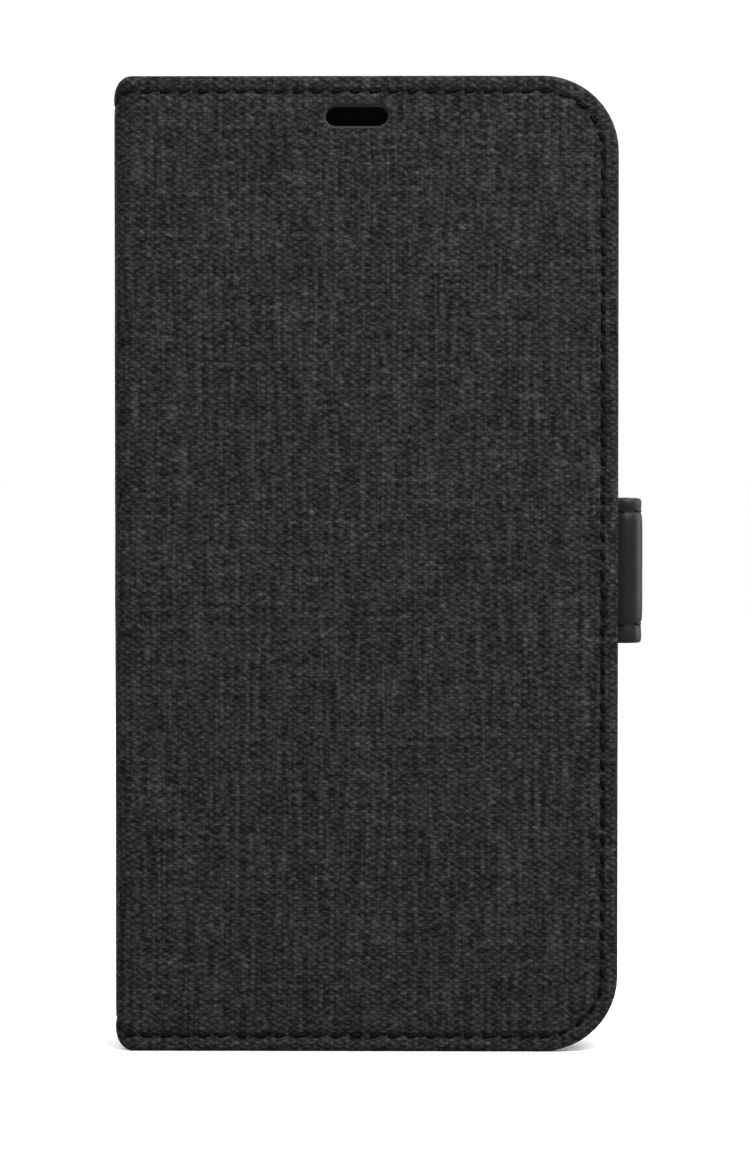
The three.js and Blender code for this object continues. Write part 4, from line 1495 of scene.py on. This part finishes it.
STRAP_BEND_Z = 83
STRAP_PITCH = 2.9
STRAP_STITCH = ((1.9, 0.2, 0.8), 0.27, 1)
STRAP_SEAM_START = 1.4
SEAM_PAST_BEND = 0.6
SIDE_COLUMNS = list(np.linspace(0, STRAP_SIDE_HALF - 0.6, 7))
BEND_COLUMNS = list(np.linspace(STRAP_SIDE_HALF - 0.2, STRAP_TURNED + 1.2, 18))


def seam_skew(inset):
    """The lower seam lies a little further in than the upper one."""
    return inset + STRAP_SEAM_EXTRA * smooth_share(inset, 1.0, 1.9)


def strap_panel(is_front, end, corner, flat_steps):
    flat_columns = list(np.linspace(STRAP_TURNED + 2.0, end - corner, flat_steps))
    return Panel(
        strap_place(is_front),
        end,
        side_low.z,
        side_high.z,
        (corner, corner),
        SIDE_COLUMNS + BEND_COLUMNS + flat_columns,
        rows=22,
        skew=seam_skew,
    )


def bend_strap(pieces, bodies, points):
    """Bends the strap's leather and its seams from the first body to the second."""
    start, finish = (Vector((x, y, STRAP_BEND_Z)) * MM for x, y in points)
    for piece in pieces:
        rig.blend(piece, *bodies, start, finish)


def make_strap_front():
    """From the middle of the strap's side to its anchor in the front cover."""
    panel = strap_panel(True, STRAP_TURNED + STRAP_CENTRE_X - ANCHOR_X, 1.0, 5)
    strap = panel.build("strap_front_half", STRAP_RINGS, wobble=0.02, seam=STRAP_SEAM)
    dress(strap, STRAP_LEATHER, "strap_leather")
    reach = STRAP_TURNED + SEAM_PAST_BEND
    total = seam_path(panel, STRAP_SEAM)[1][-1]
    seams = [
        stitches(f"strap_seam_{name}", panel, STRAP_SEAM, STRAP_PITCH, *STRAP_STITCH, start, stop)
        for name, start, stop in (
            ("upper", STRAP_SEAM_START, reach),
            ("lower", total - reach, total - STRAP_SEAM_START),
        )
    ]
    for seam in seams:
        dress(seam, THREAD, "thread")
    flat_bend = (STRAP_CENTRE_X - 0.5, side_low.y - 0.3)
    side_bend = (STRAP_OUT_X + 0.3, STRAP_FRONT_CENTRE + 0.5)
    bend_strap([strap] + seams, ("front_cover", "strap_side"), (flat_bend, side_bend))
    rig.replaces(strap, "strap_anchor", "strap_side_leather", "strap_side_lining")
    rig.replaces(seams[0], "strap_side_thread_upper")
    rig.replaces(seams[1], "strap_side_thread_lower")


def make_strap_back():
    """From the middle of the strap's side to its swollen tip on the back cover."""
    panel = strap_panel(False, STRAP_TURNED + STRAP_CENTRE_X - tip_low.x, 6.0, 18)
    strap = panel.build("strap_back_half", STRAP_RINGS, wobble=0.02, crown=tip_lift, seam=STRAP_SEAM)
    dress(strap, STRAP_LEATHER, "strap_leather")
    lifted = LiftedPanel(panel, tip_lift)
    seam = stitches(
        "strap_tip_seam", lifted, STRAP_SEAM, STRAP_PITCH, *STRAP_STITCH, STRAP_SEAM_START
    )
    dress(seam, THREAD, "thread")
    side_bend = (STRAP_OUT_X + 0.3, STRAP_BACK_CENTRE - 0.5)
    flat_bend = (STRAP_CENTRE_X - 0.5, side_high.y + 0.3)
    bend_strap([strap, seam], ("strap_side", "strap_tip"), (side_bend, flat_bend))
    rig.replaces(strap, "strap_tip_leather", "strap_tip_lining")
    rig.replaces(seam, "strap_tip_thread")


# ---- Camera, floor and light ----

VIEW_DISTANCE = 697.0
VIEW_ELEVATION = 1.7
VIEW_AZIMUTH = 0.8
VIEW_LENS = 194.45
VIEW_TARGET = Vector((-0.6, FRONT_Y, 82.05))
WORLD_LIGHT = 0.5
FLOOR_HALF = 30000
FLOOR_GREY = 0.95
FLOOR_BOUNCE = 0.28

# Place, aim, size and power, in metres and watts
AREA_LIGHTS = {
    "back fill": ((-0.5, 0.75, 0.5), (0, 0, 0.09), (0.6, 0.6), 9.0),
    "key light": ((0.24, -0.36, 0.48), (0, 0, 0.14), (0.36, 0.36), 3.5),
    "side light": ((0.6, 0.18, 0.25), (0.04, 0, 0.08), (0.2, 0.5), 1.8),
}


def make_camera():
    data = bpy.data.cameras.new("camera")
    data.sensor_width = 36.0
    data.sensor_fit = "HORIZONTAL"
    data.lens = VIEW_LENS
    data.clip_start = 0.01
    data.clip_end = 20.0
    camera = bpy.data.objects.new("camera", data)
    bpy.context.scene.collection.objects.link(camera)
    azimuth, elevation = math.radians(VIEW_AZIMUTH), math.radians(VIEW_ELEVATION)
    direction = Vector(
        (
            math.sin(azimuth) * math.cos(elevation),
            -math.cos(azimuth) * math.cos(elevation),
            math.sin(elevation),
        )
    )
    camera.location = VIEW_TARGET * MM + direction * VIEW_DISTANCE * MM
    camera.rotation_euler = (-direction).to_track_quat("-Z", "Y").to_euler()
    bpy.context.scene.camera = camera


def area_light(name, place, aim, size, power):
    data = bpy.data.lights.new(name, "AREA")
    data.shape = "RECTANGLE"
    data.size, data.size_y = size
    data.energy = power
    light = bpy.data.objects.new(name, data)
    bpy.context.scene.collection.objects.link(light)
    light.location = place
    light.rotation_euler = (Vector(aim) - Vector(place)).to_track_quat("-Z", "Y").to_euler()


def make_floor():
    """A wide white floor that throws back less light than it shows."""
    corners = [(-1, -1), (1, -1), (1, 1), (-1, 1)]
    points = [(x * FLOOR_HALF, y * FLOOR_HALF, 0) for x, y in corners]
    floor = new_mesh("studio_floor", points, [(0, 1, 2, 3)])
    material, nodes, surface = start_material("white studio floor")
    seen = nodes.add("ShaderNodeLightPath").outputs["Is Camera Ray"]
    shown = nodes.mix(seen, grey(FLOOR_BOUNCE), grey(FLOOR_GREY))
    nodes.put(surface.inputs["Base Color"], shown)
    surface.inputs["Roughness"].default_value = 0.9
    surface.inputs["Specular IOR Level"].default_value = 0.1
    floor.data.materials.append(material)
    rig.stage(floor)


def make_world():
    """White to look at. As a light it is dimmer from the side that the case faces."""
    world = bpy.data.worlds.new("white studio")
    bpy.context.scene.world = world
    world.use_nodes = True
    nodes = Nodes(world.node_tree)
    background = world.node_tree.nodes["Background"]
    background.inputs["Color"].default_value = (1.0, 1.0, 1.0, 1.0)
    seen = nodes.add("ShaderNodeLightPath").outputs["Is Camera Ray"]
    direction = nodes.add("ShaderNodeTexCoord").outputs["Generated"]
    towards_back = nodes.split(direction)[1]
    room = nodes.ramp(towards_back, -0.95, 0.2, WORLD_LIGHT * 0.3, WORLD_LIGHT)
    nodes.put(background.inputs["Strength"], nodes.ramp(seen, 0.0, 1.0, room, 1.05))


def make_lights():
    data = bpy.data.lights.new("overhead light", "SUN")
    data.energy = 2.15
    data.angle = math.radians(70)
    overhead = bpy.data.objects.new("overhead light", data)
    overhead.rotation_euler = (math.radians(8), math.radians(6), 0)
    bpy.context.scene.collection.objects.link(overhead)
    for name, (place, aim, size, power) in AREA_LIGHTS.items():
        area_light(name, place, aim, size, power)


def set_view():
    settings = bpy.context.scene.view_settings
    settings.view_transform = "Standard"
    settings.look = "None"
    settings.exposure = 0.0
    settings.gamma = 1.0


# ---- Put it together ----

make_camera()
make_floor()
make_world()
make_lights()
set_view()

make_cover(True)
make_cover(False)
make_pocket("cash_pocket", 10.0)
for number in (1, 2, 3):
    make_pocket(f"card_pocket_{number}", 1.0)
make_shell()
for key_node, key_outward in KEYS.items():
    make_key(key_node, key_outward)
make_strap_front()
make_strap_back()

for node_name, finish in {
    "front_board": BOARD,
    "back_board": BOARD,
    "spine_board": BOARD,
    "strap_stiffener": BOARD,
    "back_keeper_plate": STEEL,
    "strap_magnet_lower": MAGNET,
    "strap_magnet_upper": MAGNET,
    "shell_glue_pad": FOAM,
}.items():
    inner_piece = frame["nodes"][node_name]
    inner_piece.data.materials.clear()
    inner_piece.data.materials.append(finish)

visual_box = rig.bounds()
with open("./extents.json", "w") as out:
    json.dump({"cad": [list(c) for c in cad_box], "visual": [list(c) for c in visual_box]}, out)
